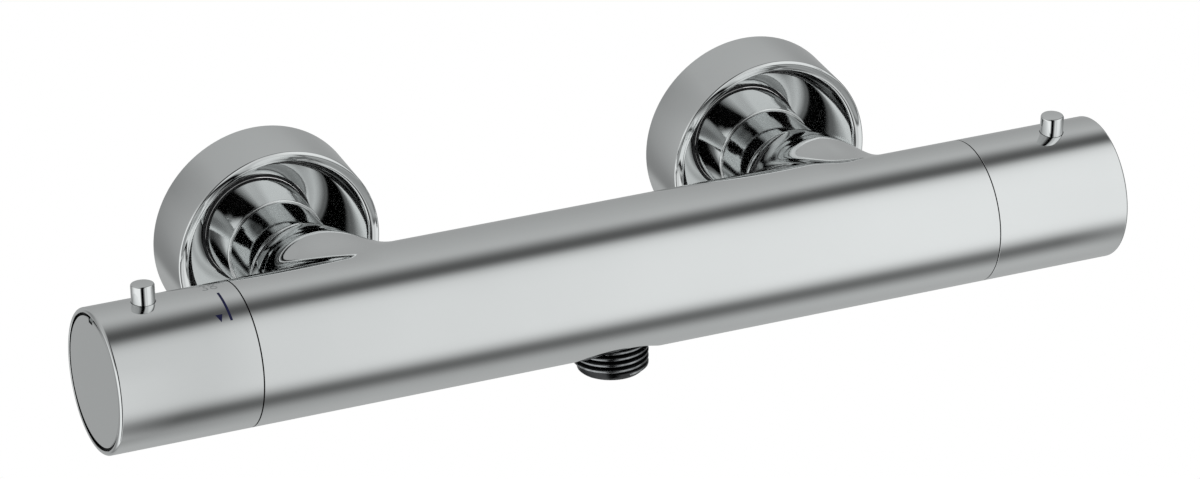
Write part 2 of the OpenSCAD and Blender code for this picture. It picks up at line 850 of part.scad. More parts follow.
module cartridge_housing() {
    land = land_w / 2;
    port = [housing_r + over, port_w, port_len];
    keyway = [housing_bore_r + key_depth, key_w + clear, regulator_len + 2 * nut_rest];
    color(brass) end_frame(-1) difference() {
        turned([
            [0, -housing_end],
            [housing_r, -housing_end],
            [housing_r, land - seal_3],
            [relief_r, land - seal_3],
            [relief_r, -land - seal_2],
            [housing_r, -land - seal_2],
            [housing_r, land - seal_2],
            [relief_r, land - seal_2],
            [relief_r, -land - seal_1],
            [housing_r, -land - seal_1],
            [housing_r, -mouth_len],
            [mouth_r - housing_gap, -mouth_len],
            [mouth_r - housing_gap, -flange_at],
            [neck_r, -flange_at],
            [neck_r, neck_end],
            [0, neck_end]
        ]);
        // Bore for the moving pieces, and the spindle's bearing
        rod(housing_bore_r, -housing_end - over, -bore_start);
        rod(spindle_r + run_fit, -bore_start - over, neck_end + over);
        for (t = [seal_1, seal_2, seal_3]) {
            tube(cavity_r, groove_r, -t - groove_w / 2, groove_w / 2 - t);
        }
        for (a = [45 : 90 : 315], t = [hot_port, cold_port]) rotate([0, 0, a])
            translate([0, -port_w / 2, -t - port_len]) cube(port);
        // Two keyways that keep the regulating nut from turning
        for (a = [0, 180]) rotate([0, 0, a])
            translate([0, -keyway[1] / 2, -regulator_end - nut_rest]) cube(keyway);
    }
}

module cartridge_orings() {
    color(rubber) end_frame(-1) {
        for (t = [seal_1, seal_2, seal_3]) {
            oring(groove_r, oring_d, -t);
        }
    }
}

module cartridge_nut() {
    color(brass) end_frame(-1) difference() {
        tube(mouth_r - slip_fit, neck_r + slip_fit, -flange_at, nut_proud);
        for (a = [0 : 90 : 270]) rotate([0, 0, a])
            translate([neck_r, -nut_slot_w / 2, nut_proud - nut_slot_depth])
                cube([mouth_r - neck_r + over, nut_slot_w, nut_slot_depth + over]);
    }
}

module cartridge_seat_ring() {
    color(brass) end_frame(-1)
        tube(housing_bore_r - slip_fit, seat_bore_r, -housing_end, -seat_ring_start);
}

// Splined outer end that both spindles share
module spindle_end() {
    translate([0, 0, neck_end - over])
        linear_extrude(adapter_end - neck_end - face_gap + over) spline_outline(0);
}

module screw_hole() {
    rod(screw_r + slip_fit, adapter_end - screw_len, adapter_end + over);
}

module cartridge_spindle() {
    thrust_at = -bore_start - face_gap;
    color(brass) end_frame(-1) difference() {
        union() {
            spindle_end();
            rod(spindle_r, thrust_at - thrust_t, neck_end);
            rod(thrust_r, thrust_at - thrust_t, thrust_at);
            rod(spindle_thread_r, -stem_end, thrust_at);
        }
        screw_hole();
    }
}

module regulating_nut() {
    key_len = regulator_len - 2 * key_ends;
    color(brass) end_frame(-1) difference() {
        union() {
            rod(regulator_r, -regulator_end, -regulator_start);
            for (a = [0, 180]) rotate([0, 0, a])
                translate([0, -key_w / 2, key_ends - regulator_end])
                    cube([housing_bore_r + key_depth - clear, key_w, key_len]);
        }
        rod(spindle_thread_r + run_fit, -regulator_end - over, over - regulator_start);
        rod(cup_r, -regulator_end - over, -cup_floor);
        rod(cup_r + clip_bite + face_gap, -clip_start - clip_t - slip_fit, -clip_start);
    }
}

module overtravel_spring() {
    color(steel) end_frame(-1) coil(overtravel_r, overtravel_wire_r, 2,
        slip_fit - plunger_start, -cup_floor - slip_fit);
}

module overtravel_plunger() {
    color(steel) end_frame(-1) difference() {
        rod(cup_r - slip_fit, -plunger_start - plunger_t, -plunger_start);
        rod(wax_pin_r + slip_fit, -plunger_start - plunger_t - over,
            -plunger_start - pin_hole_depth);
    }
}

module plunger_clip() {
    clip_r = cup_r + clip_bite;
    color(steel) end_frame(-1) difference() {
        tube(clip_r, clip_r - clip_w, -clip_start - clip_t, -clip_start - slip_fit);
        slice(cavity_r, clip_gap_angle, -clip_start - clip_t - over, over - clip_start);
    }
}

module wax_element() {
    bulb_r = wax_d / 2;
    bulb_at = -wax_flange_at - wax_flange_t;
    color(brass) end_frame(-1) turned([
        [0, -pin_start],
        [wax_pin_r, -pin_start],
        [wax_pin_r, -shuttle_start],
        [wax_neck_r, -shuttle_start],
        [wax_neck_r, -wax_flange_at],
        [wax_flange_r, -wax_flange_at],
        [wax_flange_r, bulb_at],
        [bulb_r, bulb_at],
        [bulb_r, bulb_at - wax_bulb_len],
        [0, bulb_at - wax_bulb_len]
    ]);
}

module shuttle() {
    room_r = housing_bore_r - shuttle_wall;
    hole_at = (wax_flange_r + room_r) / 2;
    color(brass) end_frame(-1) difference() {
        rod(housing_bore_r - shuttle_fit, -shuttle_end, -shuttle_start);
        rod(wax_neck_r + slip_fit, -shuttle_end, over - shuttle_start);
        rod(room_r, -web_at, over - shuttle_start);
        rod(room_r, -shuttle_end - over, -wax_flange_at);
        for (a = [0 : 60 : 300]) rotate([0, 0, a]) translate([hole_at, 0, 0])
            rod(shuttle_hole_r, -shuttle_end, -shuttle_start);
    }
}

module return_spring() {
    color(steel) end_frame(-1) coil(return_spring_r, return_wire_r, 4,
        slip_fit - seat_ring_start, -wax_flange_at - slip_fit);
}

// Flow headwork

module headwork_body() {
    skirt_r = g12_r - head_skirt_gap;
    seal_room_r = g12_r + oring_d + 2 * slip_fit;
    color(brass) end_frame(1) difference() {
        turned([
            [0, -fixed_disc_start - disc_t],
            [skirt_r, -fixed_disc_start - disc_t],
            [skirt_r, -head_thread_end],
            [g12_r, -head_thread_end],
            [g12_r, -head_mouth_len],
            [head_collar_r, -head_mouth_len],
            [head_collar_r, -head_collar_at],
            [neck_r, -head_collar_at],
            [neck_r, neck_end],
            [0, neck_end]
        ]);
        tube(seal_room_r, g12_r, -head_mouth_len - over, oring_d - head_mouth_len);
        rod(head_bore_r, -head_seat - over, -head_bore_start);
        rod(spindle_r + run_fit, -head_bore_start - over, neck_end + over);
        // Side windows that let the mixed water out
        for (a = [45 : 90 : 315]) rotate([0, 0, a])
            translate([0, -head_window_w / 2, slip_fit - moving_disc_start])
                cube([chamber_r, head_window_w, moving_disc_start - head_bore_start]);
    }
}

module headwork_oring() {
    color(rubber) end_frame(1) oring(g12_r, oring_d - slip_fit, oring_d / 2 - head_mouth_len);
}

module headwork_seal() {
    color(rubber) end_frame(1) tube(disc_r, disc_r - seal_wall,
        slip_fit - head_seat, -fixed_disc_start - disc_t);
}

// Ceramic disc with two opposite windows
module ceramic_disc(start, angle) {
    difference() {
        rod(disc_r, -start - disc_t, -start);
        for (a = [0, 180]) rotate([0, 0, a + angle]) difference() {
            slice(disc_r - window_rim, disc_window_angle, -start - disc_t - over, over - start);
            rod(window_hub_r, -start - disc_t - 2 * over, 2 * over - start);
        }
    }
}

module fixed_disc() {
    color(ceramic) end_frame(1) ceramic_disc(fixed_disc_start, 0);
}

// Shut at rest: its windows stand square to those of the fixed disc
module moving_disc() {
    slot = [tang_len + 2 * slip_fit, tang_w + 2 * slip_fit, tang_h + slip_fit + over];
    color(ceramic) end_frame(1) difference() {
        ceramic_disc(moving_disc_start, 90);
        translate([-slot[0] / 2, -slot[1] / 2, -moving_disc_start - tang_h - slip_fit])
            cube(slot);
    }
}

module flow_spindle() {
    color(brass) end_frame(1) difference() {
        union() {
            spindle_end();
            rod(spindle_r, -driver_start - slip_fit, neck_end);
            intersection() {
                rod(driver_r, slip_fit - moving_disc_start, -driver_start);
                translate([-driver_r, -driver_w / 2, -moving_disc_start])
                    cube([2 * driver_r, driver_w, driver_t]);
            }
            translate([-tang_len / 2, -tang_w / 2, -moving_disc_start - tang_h])
                cube([tang_len, tang_w, 2 * tang_h]);
        }
        screw_hole();
    }
}

// Handle pieces, the same at both ends of the bar

// Part of the stop ring's rim between two radii, over a span of angles
module rim_block(outer_r, inner_r, middle, span) {
    intersection() {
        tube(outer_r, inner_r, rim_face - slip_fit, rim_end);
        at_angle(middle) slice(bar_r, span, stop_back, rim_end + over);
    }
}

// Ring on the neck, with an end stop for the catch and a nose that it meets first
module stop_ring(side, phi, forward, backward, nose_at) {
    half_catch = asin(catch_w / 2 / catch_low);
    stop_from = phi + backward + half_catch + stop_margin;
    stop_span = 360 - forward - backward - 2 * (half_catch + stop_margin);
    color(plastic) end_frame(side) {
        tube(rim_r, neck_r + slip_fit, stop_back, rim_face);
        tube(rim_r, rim_in_r, rim_face, rim_end);
        rim_block(rim_in_r + slip_fit, catch_low, stop_from + stop_span / 2, stop_span);
        rim_block(rim_in_r + slip_fit, catch_top + clear, nose_at, nose_span);
    }
}

module handle(side, phi) {
    edge_steps = 6;
    edge = [for (i = [0 : edge_steps]) let (a = 90 * i / edge_steps)
        [bar_r - handle_edge_r * (1 - cos(a)), handle_len - handle_edge_r * (1 - sin(a))]];
    color(chrome) end_frame(side) difference() {
        union() {
            turned(concat(
                [[handle_in_r, seam_gap], [bar_r, seam_gap]],
                edge,
                [
                    [cap_seat_r, handle_len],
                    [cap_seat_r, cap_plate - slip_fit],
                    [spigot_r + slip_fit, cap_plate - slip_fit],
                    [spigot_r + slip_fit, web_front],
                    [0, web_front],
                    [0, adapter_end],
                    [adapter_r, adapter_end],
                    [adapter_r, hub_back],
                    [hub_r, hub_back],
                    [hub_r, web_back],
                    [handle_in_r, web_back]
                ]
            ));
            // Tower that guides the button
            at_angle(phi) translate([0, 0, button_at]) rotate([0, 90, 0])
                rod(tower_r, tower_low, bar_r - handle_wall / 2);
        }
        // Seat of the adapter and the screw's hole
        rod(adapter_r, -over, adapter_end);
        rod(screw_r + clear, adapter_end - over, handle_len);
        // Bore of the button, and the slot that lets the catch out towards the body
        at_angle(phi) translate([0, 0, button_at]) {
            rotate([0, 90, 0]) rod(button_bore_r, tower_floor, bar_r + over);
            translate([tower_floor, -catch_w / 2 - clear, -tower_r - over])
                cube([catch_top + clear - tower_floor, catch_w + 2 * clear, tower_r + over]);
        }
    }
}

module adapter(side) {
    color(plastic) end_frame(side) difference() {
        rod(adapter_r - slip_fit, hub_back, adapter_end - slip_fit);
        translate([0, 0, hub_back - over]) linear_extrude(hub_len + 2 * over)
            spline_outline(slip_fit);
    }
}

module handle_screw(side) {
    head_at = web_front + slip_fit;
    color(steel) end_frame(side) difference() {
        union() {
            rod(screw_r, adapter_end - screw_len + over, head_at);
            rod(screw_head_r, head_at, head_at + screw_head_t);
        }
        translate([0, 0, head_at + screw_head_t - screw_key_depth])
            cylinder(r = screw_key_af / sqrt(3), h = screw_head_t, $fn = 6);
    }
}

module cap(side, phi) {
    face = cap_plate + cap_t;
    color(chrome) end_frame(side) difference() {
        turned([
            [0, cap_plate],
            [spigot_r - spigot_wall, cap_plate],
            [spigot_r - spigot_wall, cap_plate - spigot_len],
            [spigot_r, cap_plate - spigot_len],
            [spigot_r, cap_plate],
            [cap_r, cap_plate],
            [cap_r, face - cap_bevel],
            [cap_r - cap_bevel, face],
            [0, face]
        ]);
        // Notch for prising the cap off, in line with the button
        at_angle(phi) translate([cap_r - notch_depth, -notch_w / 2, cap_plate + clear])
            cube([notch_depth + over, notch_w, cap_t]);
    }
}

module button(side, phi) {
    top = bar_r + button_proud;
    color(chrome) button_frame(side, phi) turned([
        [button_hole_r, catch_low],
        [spigot_in_r, catch_low],
        [spigot_in_r, catch_top],
        [button_r, catch_top],
        [button_r, top - button_bevel],
        [button_r - button_bevel, top],
        [0, top],
        [0, bar_r],
        [button_hole_r, bar_r]
    ]);
}

module catch(side, phi) {
    color(steel) button_frame(side, phi) difference() {
        union() {
            rod(button_r, catch_low, catch_top - slip_fit);
            translate([0, -catch_w / 2, catch_low])
                cube([catch_reach, catch_w, catch_t - slip_fit]);
        }
        rod(spigot_in_r + slip_fit, catch_low - over, catch_top + over);
    }
}

module button_spring(side, phi) {
    color(steel) button_frame(side, phi)
        coil(button_spring_r, button_wire_r, 9, tower_floor + slip_fit, bar_r - slip_fit);
}

valve_body();
outlet_nipple();
outlet_oring();
collar(-1);  // hot_collar
collar(1);  // cold_collar
tailpiece(-1);  // hot_tailpiece
tailpiece(1);  // cold_tailpiece
union_nut(-1);  // hot_union_nut
union_nut(1);  // cold_union_nut
filter_washer(-1);  // hot_filter_washer
filter_washer(1);  // cold_filter_washer
wall_union(-1);  // hot_wall_union
wall_union(1);  // cold_wall_union
rosette(-1);  // hot_rosette
rosette(1);  // cold_rosette
rosette_ring(-1);  // hot_rosette_ring
rosette_ring(1);  // cold_rosette_ring
check_housing(-1);  // hot_check_housing
check_housing(1);  // cold_check_housing
check_poppet(-1);  // hot_check_poppet
check_poppet(1);  // cold_check_poppet
check_spring(-1);  // hot_check_spring
check_spring(1);  // cold_check_spring
cartridge_housing();
cartridge_orings();
cartridge_nut();
cartridge_seat_ring();
cartridge_spindle();
regulating_nut();
overtravel_spring();
overtravel_plunger();
plunger_clip();
wax_element();
shuttle();
return_spring();
stop_ring(-1, temperature_button_angle, cold_travel, hot_travel,  // temperature_stop_ring
        temperature_button_angle + nose_lead);
handle(-1, temperature_button_angle);  // temperature_handle
adapter(-1);  // temperature_adapter
handle_screw(-1);  // temperature_screw
cap(-1, temperature_button_angle);  // temperature_cap
button(-1, temperature_button_angle);  // temperature_button
catch(-1, temperature_button_angle);  // temperature_catch
button_spring(-1, temperature_button_angle);  // temperature_button_spring
headwork_body();
headwork_oring();
headwork_seal();
fixed_disc();
moving_disc();
flow_spindle();
stop_ring(1, flow_button_angle, flow_travel, 0,  // flow_stop_ring
        flow_button_angle - flow_travel / 2 - nose_lead);
handle(1, flow_button_angle);  // flow_handle
adapter(1);  // flow_adapter
handle_screw(1);  // flow_screw
cap(1, flow_button_angle);  // flow_cap
button(1, flow_button_angle);  // flow_button
catch(1, flow_button_angle);  // flow_catch
button_spring(1, flow_button_angle);  // flow_button_spring
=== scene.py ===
import json
import math

import bmesh
import bpy
from mathutils import Matrix, Vector
from mathutils.geometry import delaunay_2d_cdt


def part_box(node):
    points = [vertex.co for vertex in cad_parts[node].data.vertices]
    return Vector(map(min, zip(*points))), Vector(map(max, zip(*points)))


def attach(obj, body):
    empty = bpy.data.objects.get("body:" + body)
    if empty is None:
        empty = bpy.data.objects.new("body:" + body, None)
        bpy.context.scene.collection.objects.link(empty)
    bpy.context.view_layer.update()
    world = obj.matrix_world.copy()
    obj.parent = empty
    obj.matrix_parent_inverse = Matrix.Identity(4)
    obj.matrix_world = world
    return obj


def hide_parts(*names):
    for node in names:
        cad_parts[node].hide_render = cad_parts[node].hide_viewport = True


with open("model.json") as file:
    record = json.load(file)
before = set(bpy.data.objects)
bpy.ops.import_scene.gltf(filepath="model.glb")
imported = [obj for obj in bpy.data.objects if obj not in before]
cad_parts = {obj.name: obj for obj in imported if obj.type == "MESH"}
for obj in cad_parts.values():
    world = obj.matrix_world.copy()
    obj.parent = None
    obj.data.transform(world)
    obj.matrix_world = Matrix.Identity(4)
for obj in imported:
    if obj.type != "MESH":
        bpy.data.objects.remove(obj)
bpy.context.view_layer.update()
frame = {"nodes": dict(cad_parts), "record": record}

MM = 0.001
CLEAR = 0.05 * MM

# Sizes and places, read from the frame


def span(node):
    """Middle and half size of a CAD node's box."""
    low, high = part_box(node)
    return (low + high) / 2, (high - low) / 2


body_half = span("valve_body")[1]
right_mid, right_half = span("flow_handle")
collar_mid, collar_half = span("cold_collar")
nut_mid, nut_half = span("cold_union_nut")
rosette_mid, rosette_half = span("cold_rosette")
nipple_low, nipple_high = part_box("outlet_nipple")
button_low, button_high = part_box("flow_button")
cap_mid, cap_half = span("flow_cap")
union_low, union_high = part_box("cold_wall_union")

AXIS_Y = right_mid.y
AXIS_Z = right_mid.z
BAR_R = right_half.z
# One degree round the bar, along its skin
FLAT = BAR_R * math.pi / 180
END_X = body_half.x
HANDLE_END = right_mid.x + right_half.x
INLET_X = collar_mid.x
BOSS_REACH = collar_mid.y - collar_half.y - CLEAR - AXIS_Y
COLLAR_END = collar_mid.y + collar_half.y - AXIS_Y
COLLAR_R = collar_half.x
NUT_R = nut_half.x
NUT_START = nut_mid.y - nut_half.y - AXIS_Y
NUT_END = nut_mid.y + nut_half.y - AXIS_Y
WALL = -AXIS_Y
ROSETTE_R = rosette_half.x
ROSETTE_FRONT = rosette_mid.y - rosette_half.y - AXIS_Y
THREAD_R = (nipple_high.x - nipple_low.x) / 2
NIPPLE_END = AXIS_Z - nipple_low.z
NIPPLE_TOP = AXIS_Z - nipple_high.z
CAP_R = cap_half.z
CAP_FACE = cap_mid.x + cap_half.x
BUTTON_TOP = button_high.z - AXIS_Z
BUTTON_X = (button_low.x + button_high.x) / 2
BUTTON_R = (button_high.x - button_low.x) / 2
UNION_FRONT = union_low.y - AXIS_Y
UNION_BACK = union_high.y - AXIS_Y

# Sizes that the frame's boxes don't give, as the part's source works them out
SPINE_OUT = 4 * MM
SPINE_HALF = 64 * MM
SPINE_FADE = 24 * MM
SPINE_BLEND = 1.2 * MM
BOSS_R = 14.3 * MM
BOSS_EDGE = 0.4 * MM
SOCKET_DEPTH = 11.8 * MM
FLARE_REACH = 25 * MM
FLARE_ANGLE = math.radians(72)
FLARE_SLOPE = 0.342
FLARE_RIM_SHARE = 0.554
FLARE_BAR_SHARE = 0.339
RECESS_R = 14.2 * MM
RECESS_Z = 14 * MM
MOUTH_R = 15.2 * MM
MOUTH_DEPTH = 8.9 * MM
NUT_LIP = 2.4 * MM
NUT_LIP_R = 10.68 * MM
NUT_IN_R = 13.27 * MM
THREAD_PITCH = 1.814 * MM
THREAD_DEPTH = 1.16 * MM
UNION_R = 13.22 * MM
UNION_BORE = 7.4 * MM
DISC_R = 15.25 * MM
DISC_START = 71.95 * MM
DISC_END = 75.95 * MM
LEFT_ANGLE = 94.5
RIGHT_ANGLE = 86.5

# Sizes that follow the photograph instead of the part
HOLE_R = 16.3 * MM
# The seam between body and handle, from the body's CAD end
BODY_SHORT = 0.5 * MM
SEAM = -0.15 * MM
# How much longer each handle is, by side
LONGER = {-1: 0.25 * MM, 1: 0}

# Steps of the meshes
TURN_STEPS = 160
FINE_STEPS = 192
BOSS_STEPS = 128
FLARE_STEPS = 32
ROUND_STEPS = 180
LONG_STEPS = 132


def turn_to(angle):
    """Unit vector at an angle round the bar, from the front through the top."""
    a = math.radians(angle)
    return Vector((0, -math.cos(a), math.sin(a)))


# Frames: each maps a turned shape's own axis, +Z, into place


def bar_end(side):
    """Z points out of the body's end, X is up."""
    axis = Vector((side, 0, 0))
    up = Vector((0, 0, 1))
    m = Matrix((up, axis.cross(up), axis)).transposed().to_4x4()
    m.translation = Vector((side * END_X, AXIS_Y, AXIS_Z))
    return m


def inlet(side):
    """Z points from the bar axis to the wall, X is along the bar."""
    axis = Vector((0, 1, 0))
    across = Vector((1, 0, 0))
    m = Matrix((across, axis.cross(across), axis)).transposed().to_4x4()
    m.translation = Vector((side * INLET_X, AXIS_Y, AXIS_Z))
    return m


def wall_thread(side):
    """As inlet, but on the axis of the thread in the wall."""
    m = inlet(side)
    m.translation = Vector((side * INLET_X, AXIS_Y, 0))
    return m


def outlet():
    """Z points down from the bar axis."""
    m = Matrix.Rotation(math.pi, 4, "X")
    m.translation = Vector((0, AXIS_Y, AXIS_Z))
    return m


def button_axis(side, angle):
    """Z points out of the handle through the button."""
    axis = turn_to(angle)
    along = Vector((1, 0, 0))
    m = Matrix((along, axis.cross(along), axis)).transposed().to_4x4()
    m.translation = Vector((side * BUTTON_X, AXIS_Y, AXIS_Z))
    return m


# Meshes


def new_object(name, verts, faces, material, body, slot, replaced=(), sharp=32):
    """Makes a smooth-shaded piece with its edges sharp where they turn."""
    mesh = bpy.data.meshes.new(name)
    mesh.from_pydata([tuple(v) for v in verts], [], faces)
    mesh.validate()
    bm = bmesh.new()
    bm.from_mesh(mesh)
    bmesh.ops.remove_doubles(bm, verts=bm.verts, dist=1e-7)
    bmesh.ops.recalc_face_normals(bm, faces=bm.faces)
    bm.to_mesh(mesh)
    bm.free()
    mesh.polygons.foreach_set("use_smooth", [True] * len(mesh.polygons))
    mesh.set_sharp_from_angle(angle=math.radians(sharp))
    mesh.materials.append(material)
    obj = bpy.data.objects.new(name, mesh)
    bpy.context.scene.collection.objects.link(obj)
    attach(obj, body)
    if replaced:
        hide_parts(*replaced)
    return obj


def rounded(points, radius=0.15 * MM, steps=3, only=None):
    """Rounds the corners of a closed profile of (radius, height) points."""
    out = []
    n = len(points)
    for i in range(n):
        before, here, after = points[i - 1], points[i], points[(i + 1) % n]
        p, a, b = Vector(here), Vector(before), Vector(after)
        to_a, to_b = a - p, b - p
        keep = here[0] < 1e-6 or to_a.length < 1e-9 or to_b.length < 1e-9
        if keep or (only is not None and i not in only):
            out.append(here)
            continue
        to_a_n, to_b_n = to_a.normalized(), to_b.normalized()
        half = to_a_n.angle(to_b_n) / 2
        if half > math.radians(80):
            out.append(here)
            continue
        cut = min(radius / math.tan(half), 0.45 * to_a.length, 0.45 * to_b.length)
        r = cut * math.tan(half)
        middle = p + (to_a_n + to_b_n).normalized() * (r / math.sin(half))
        start, end = p + to_a_n * cut - middle, p + to_b_n * cut - middle
        aside = min(0.25 * cut, 0.1 * MM)
        out.append(tuple(middle + start + to_a_n * aside))
        for k in range(steps + 1):
            spoke = start.slerp(end, k / steps).normalized() * r
            out.append(tuple(middle + spoke))
        out.append(tuple(middle + end + to_b_n * aside))
    return out


def lathe(profile, place, segments=TURN_STEPS):
    """Vertices and faces of a closed profile of (radius, height) turned about Z."""
    verts, faces, rows = [], [], []
    for r, h in profile:
        if r < 1e-7:
            rows.append([len(verts)] * segments)
            verts.append(place @ Vector((0, 0, h)))
            continue
        rows.append(list(range(len(verts), len(verts) + segments)))
        for k in range(segments):
            a = 2 * math.pi * k / segments
            verts.append(place @ Vector((r * math.cos(a), r * math.sin(a), h)))
    for i, row in enumerate(rows):
        nxt = rows[(i + 1) % len(rows)]
        if row[0] == row[1] and nxt[0] == nxt[1]:
            continue
        for k in range(segments):
            j = (k + 1) % segments
            face = [row[k], row[j], nxt[j], nxt[k]]
            face = [v for n, v in enumerate(face) if v not in face[:n]]
            if len(face) > 2:
                faces.append(face)
    return verts, faces


def turned(name, profile, place, material, body, slot, replaced=(), segments=TURN_STEPS):
    """Piece from a closed profile turned about the Z of its frame."""
    return new_object(name, *lathe(profile, place, segments), material, body, slot, replaced)


def circle(steps):
    """Cosine and sine of each step round a circle."""
    turns = [2 * math.pi * j / steps for j in range(steps)]
    return [(math.cos(a), math.sin(a)) for a in turns]


def round_edge(radius, height, edge, steps):
    """Quarter circle from the side to the top of a turned shape."""
    turns = [math.pi / 2 * i / steps for i in range(steps + 1)]
    return [
        (radius - edge * (1 - math.cos(a)), height - edge * (1 - math.sin(a))) for a in turns
    ]


def inside_outline(p, outline):
    """Whether a point lies inside a closed outline."""
    odd = False
    for i, a in enumerate(outline):
        b = outline[(i + 1) % len(outline)]
        if (a.y > p.y) != (b.y > p.y) and p.x < (b.x - a.x) * (p.y - a.y) / (b.y - a.y) + a.x:
            odd = not odd
    return odd


def add_tube(verts, faces, rings, floor):
    """Adds the skin between rings of points, closed by a flat floor at one of them."""
    start, count = len(verts), len(rings[0])
    for ring in rings:
        verts.extend(ring)
    for i in range(len(rings) - 1):
        for j in range(count):
            p, q = start + i * count + j, start + i * count + (j + 1) % count
            faces.append([p, q, q + count, p + count])
    first = start + floor * count
    faces.append(list(range(first, first + count)))


# Materials


def srgb(value):
    """Scene-linear value of a brightness from 0 to 255."""
    v = value / 255
    return v / 12.92 if v <= 0.04045 else ((v + 0.055) / 1.055) ** 2.4


def new_material(name):
    material = bpy.data.materials.new(name)
    material.use_nodes = True
    nodes = material.node_tree.nodes
    return material, nodes, material.node_tree.links, nodes["Principled BSDF"]


def noise(nodes, links, scale, detail=3.0, stretch=None):
    """Noise in the object's own coordinates, in features per metre."""
    place = nodes.new("ShaderNodeTexCoord")
    texture = nodes.new("ShaderNodeTexNoise")
    texture.inputs["Scale"].default_value = scale
    texture.inputs["Detail"].default_value = detail
    if stretch is None:
        links.new(place.outputs["Object"], texture.inputs["Vector"])
        return texture
    mapping = nodes.new("ShaderNodeMapping")
    mapping.inputs["Scale"].default_value = stretch
    links.new(place.outputs["Object"], mapping.inputs["Vector"])
    links.new(mapping.outputs["Vector"], texture.inputs["Vector"])
    return texture


def spread(nodes, links, source, low, high):
    """Maps noise from its usual range to a range of values."""
    remap = nodes.new("ShaderNodeMapRange")
    remap.inputs["From Min"].default_value = 0.3
    remap.inputs["From Max"].default_value = 0.7
    remap.inputs["To Min"].default_value = low
    remap.inputs["To Max"].default_value = high
    links.new(source, remap.inputs["Value"])
    return remap.outputs["Result"]


def tint(nodes, links, source, first, second):
    """Colour that wanders between two colours."""
    mix = nodes.new("ShaderNodeMix")
    mix.data_type = "RGBA"
    mix.inputs[6].default_value = (*first, 1)
    mix.inputs[7].default_value = (*second, 1)
    links.new(spread(nodes, links, source, 0, 1), mix.inputs[0])
    return mix.outputs[2]


def surface(name, first, second, rough, metallic, scale, bump=0.0, bump_scale=400, stretch=None):
    """Material whose colour and roughness wander a little, with a fine grain if asked."""
    material, nodes, links, shader = new_material(name)
    broad = noise(nodes, links, scale, stretch=stretch)
    links.new(tint(nodes, links, broad.outputs["Fac"], first, second), shader.inputs["Base Color"])
    links.new(
        spread(nodes, links, broad.outputs["Fac"], rough[0], rough[1]), shader.inputs["Roughness"]
    )
    shader.inputs["Metallic"].default_value = metallic
    if bump:
        fine = noise(nodes, links, bump_scale, detail=2.0, stretch=stretch)
        lift = nodes.new("ShaderNodeBump")
        lift.inputs["Strength"].default_value = bump
        lift.inputs["Distance"].default_value = 0.05 * MM
        links.new(fine.outputs["Fac"], lift.inputs["Height"])
        links.new(lift.outputs["Normal"], shader.inputs["Normal"])
    return material


def ink(name, first, second):
    """Printed mark with little shine."""
    material = surface(name, first, second, (0.5, 0.65), 0, 900)
    material.node_tree.nodes["Principled BSDF"].inputs["Specular IOR Level"].default_value = 0.15
    return material


chrome = surface("chrome", (0.79, 0.80, 0.80), (0.81, 0.82, 0.82), (0.035, 0.06), 1, 35)
plated = surface("plated", (0.60, 0.60, 0.60), (0.68, 0.68, 0.67), (0.2, 0.32), 1, 60, 0.3, 900)
# Chrome painted near black as painted shade: the seams, the groove round each cap, and the outlet's
# core and thread flanks
painted_shade_chrome = surface(
    "painted_shade_chrome", (0.035, 0.036, 0.038), (0.07, 0.07, 0.072), (0.16, 0.28), 1, 300, 0.2, 1500
)
# Dull chrome for the outlet thread's crests, lighter than the flanks: a painted highlight
painted_highlight_chrome = surface(
    "painted_highlight_chrome", (0.2, 0.205, 0.21), (0.42, 0.43, 0.44), (0.14, 0.26), 1, 700, 0.25, 1800
)
brass = surface("brass", (0.70, 0.52, 0.24), (0.78, 0.60, 0.30), (0.22, 0.34), 1, 80, 0.3, 1200)
steel = surface("steel", (0.56, 0.57, 0.58), (0.64, 0.65, 0.66), (0.2, 0.32), 1, 120, 0.2, 1500)
plastic = surface("plastic", (0.74, 0.74, 0.71), (0.8, 0.8, 0.77), (0.42, 0.55), 0, 90, 0.3, 2500)
ceramic = surface("ceramic", (0.84, 0.83, 0.79), (0.88, 0.87, 0.84), (0.12, 0.2), 0, 60)
rubber = surface("rubber", (0.016, 0.016, 0.018), (0.028, 0.028, 0.03), (0.6, 0.78), 0, 200, 0.5, 3000)
navy = ink("navy_mark", (0.004, 0.005, 0.034), (0.007, 0.008, 0.045))
grey_mark = ink("grey_mark", (0.19, 0.2, 0.2), (0.23, 0.24, 0.24))

SLOT_MATERIALS = {
    "polished_chrome": chrome,
    "plated_union": plated,
    "brass": brass,
    "steel": steel,
    "moulded_plastic": plastic,
    "ceramic": ceramic,
    "rubber": rubber,
}
for part in frame["record"]["subparts"]:
    cad_object = frame["nodes"][part["node"]]
    cad_object.data.materials.clear()
    cad_object.data.materials.append(SLOT_MATERIALS[part["material_slot"]])


def paint(obj, material, wanted):
    """Second material on the faces whose middle passes a test."""
    obj.data.materials.append(material)
    for face in obj.data.polygons:
        if wanted(face.center):
            face.material_index = 1


# Valve body


def spine_reach(x, angle):
    """Distance from the bar axis to the rear spine's skin, in a direction round the bar."""
    past = (abs(x) - SPINE_HALF) / SPINE_FADE
    if past >= 1:
        return 0
    fade = (1 - math.cos(math.pi * max(past, 0))) / 2
    r = BAR_R - (SPINE_OUT + 0.1 * MM) * fade
    a = math.radians(angle)
    inside = r * r - (SPINE_OUT * math.sin(a)) ** 2
    return -SPINE_OUT * math.cos(a) + math.sqrt(max(inside, 0))


def skin_reach(x, angle):
    """Distance from the bar axis to the skin of bar and spine, blended where they meet."""
    a, b = BAR_R, spine_reach(x, angle)
    near = max(SPINE_BLEND - abs(a - b), 0) / SPINE_BLEND
    return max(a, b) + near * near * SPINE_BLEND / 4


def skin_point(x, angle):
    a = math.radians(angle)
    r = skin_reach(x, angle)
    return Vector((x, -r * math.cos(a), r * math.sin(a)))


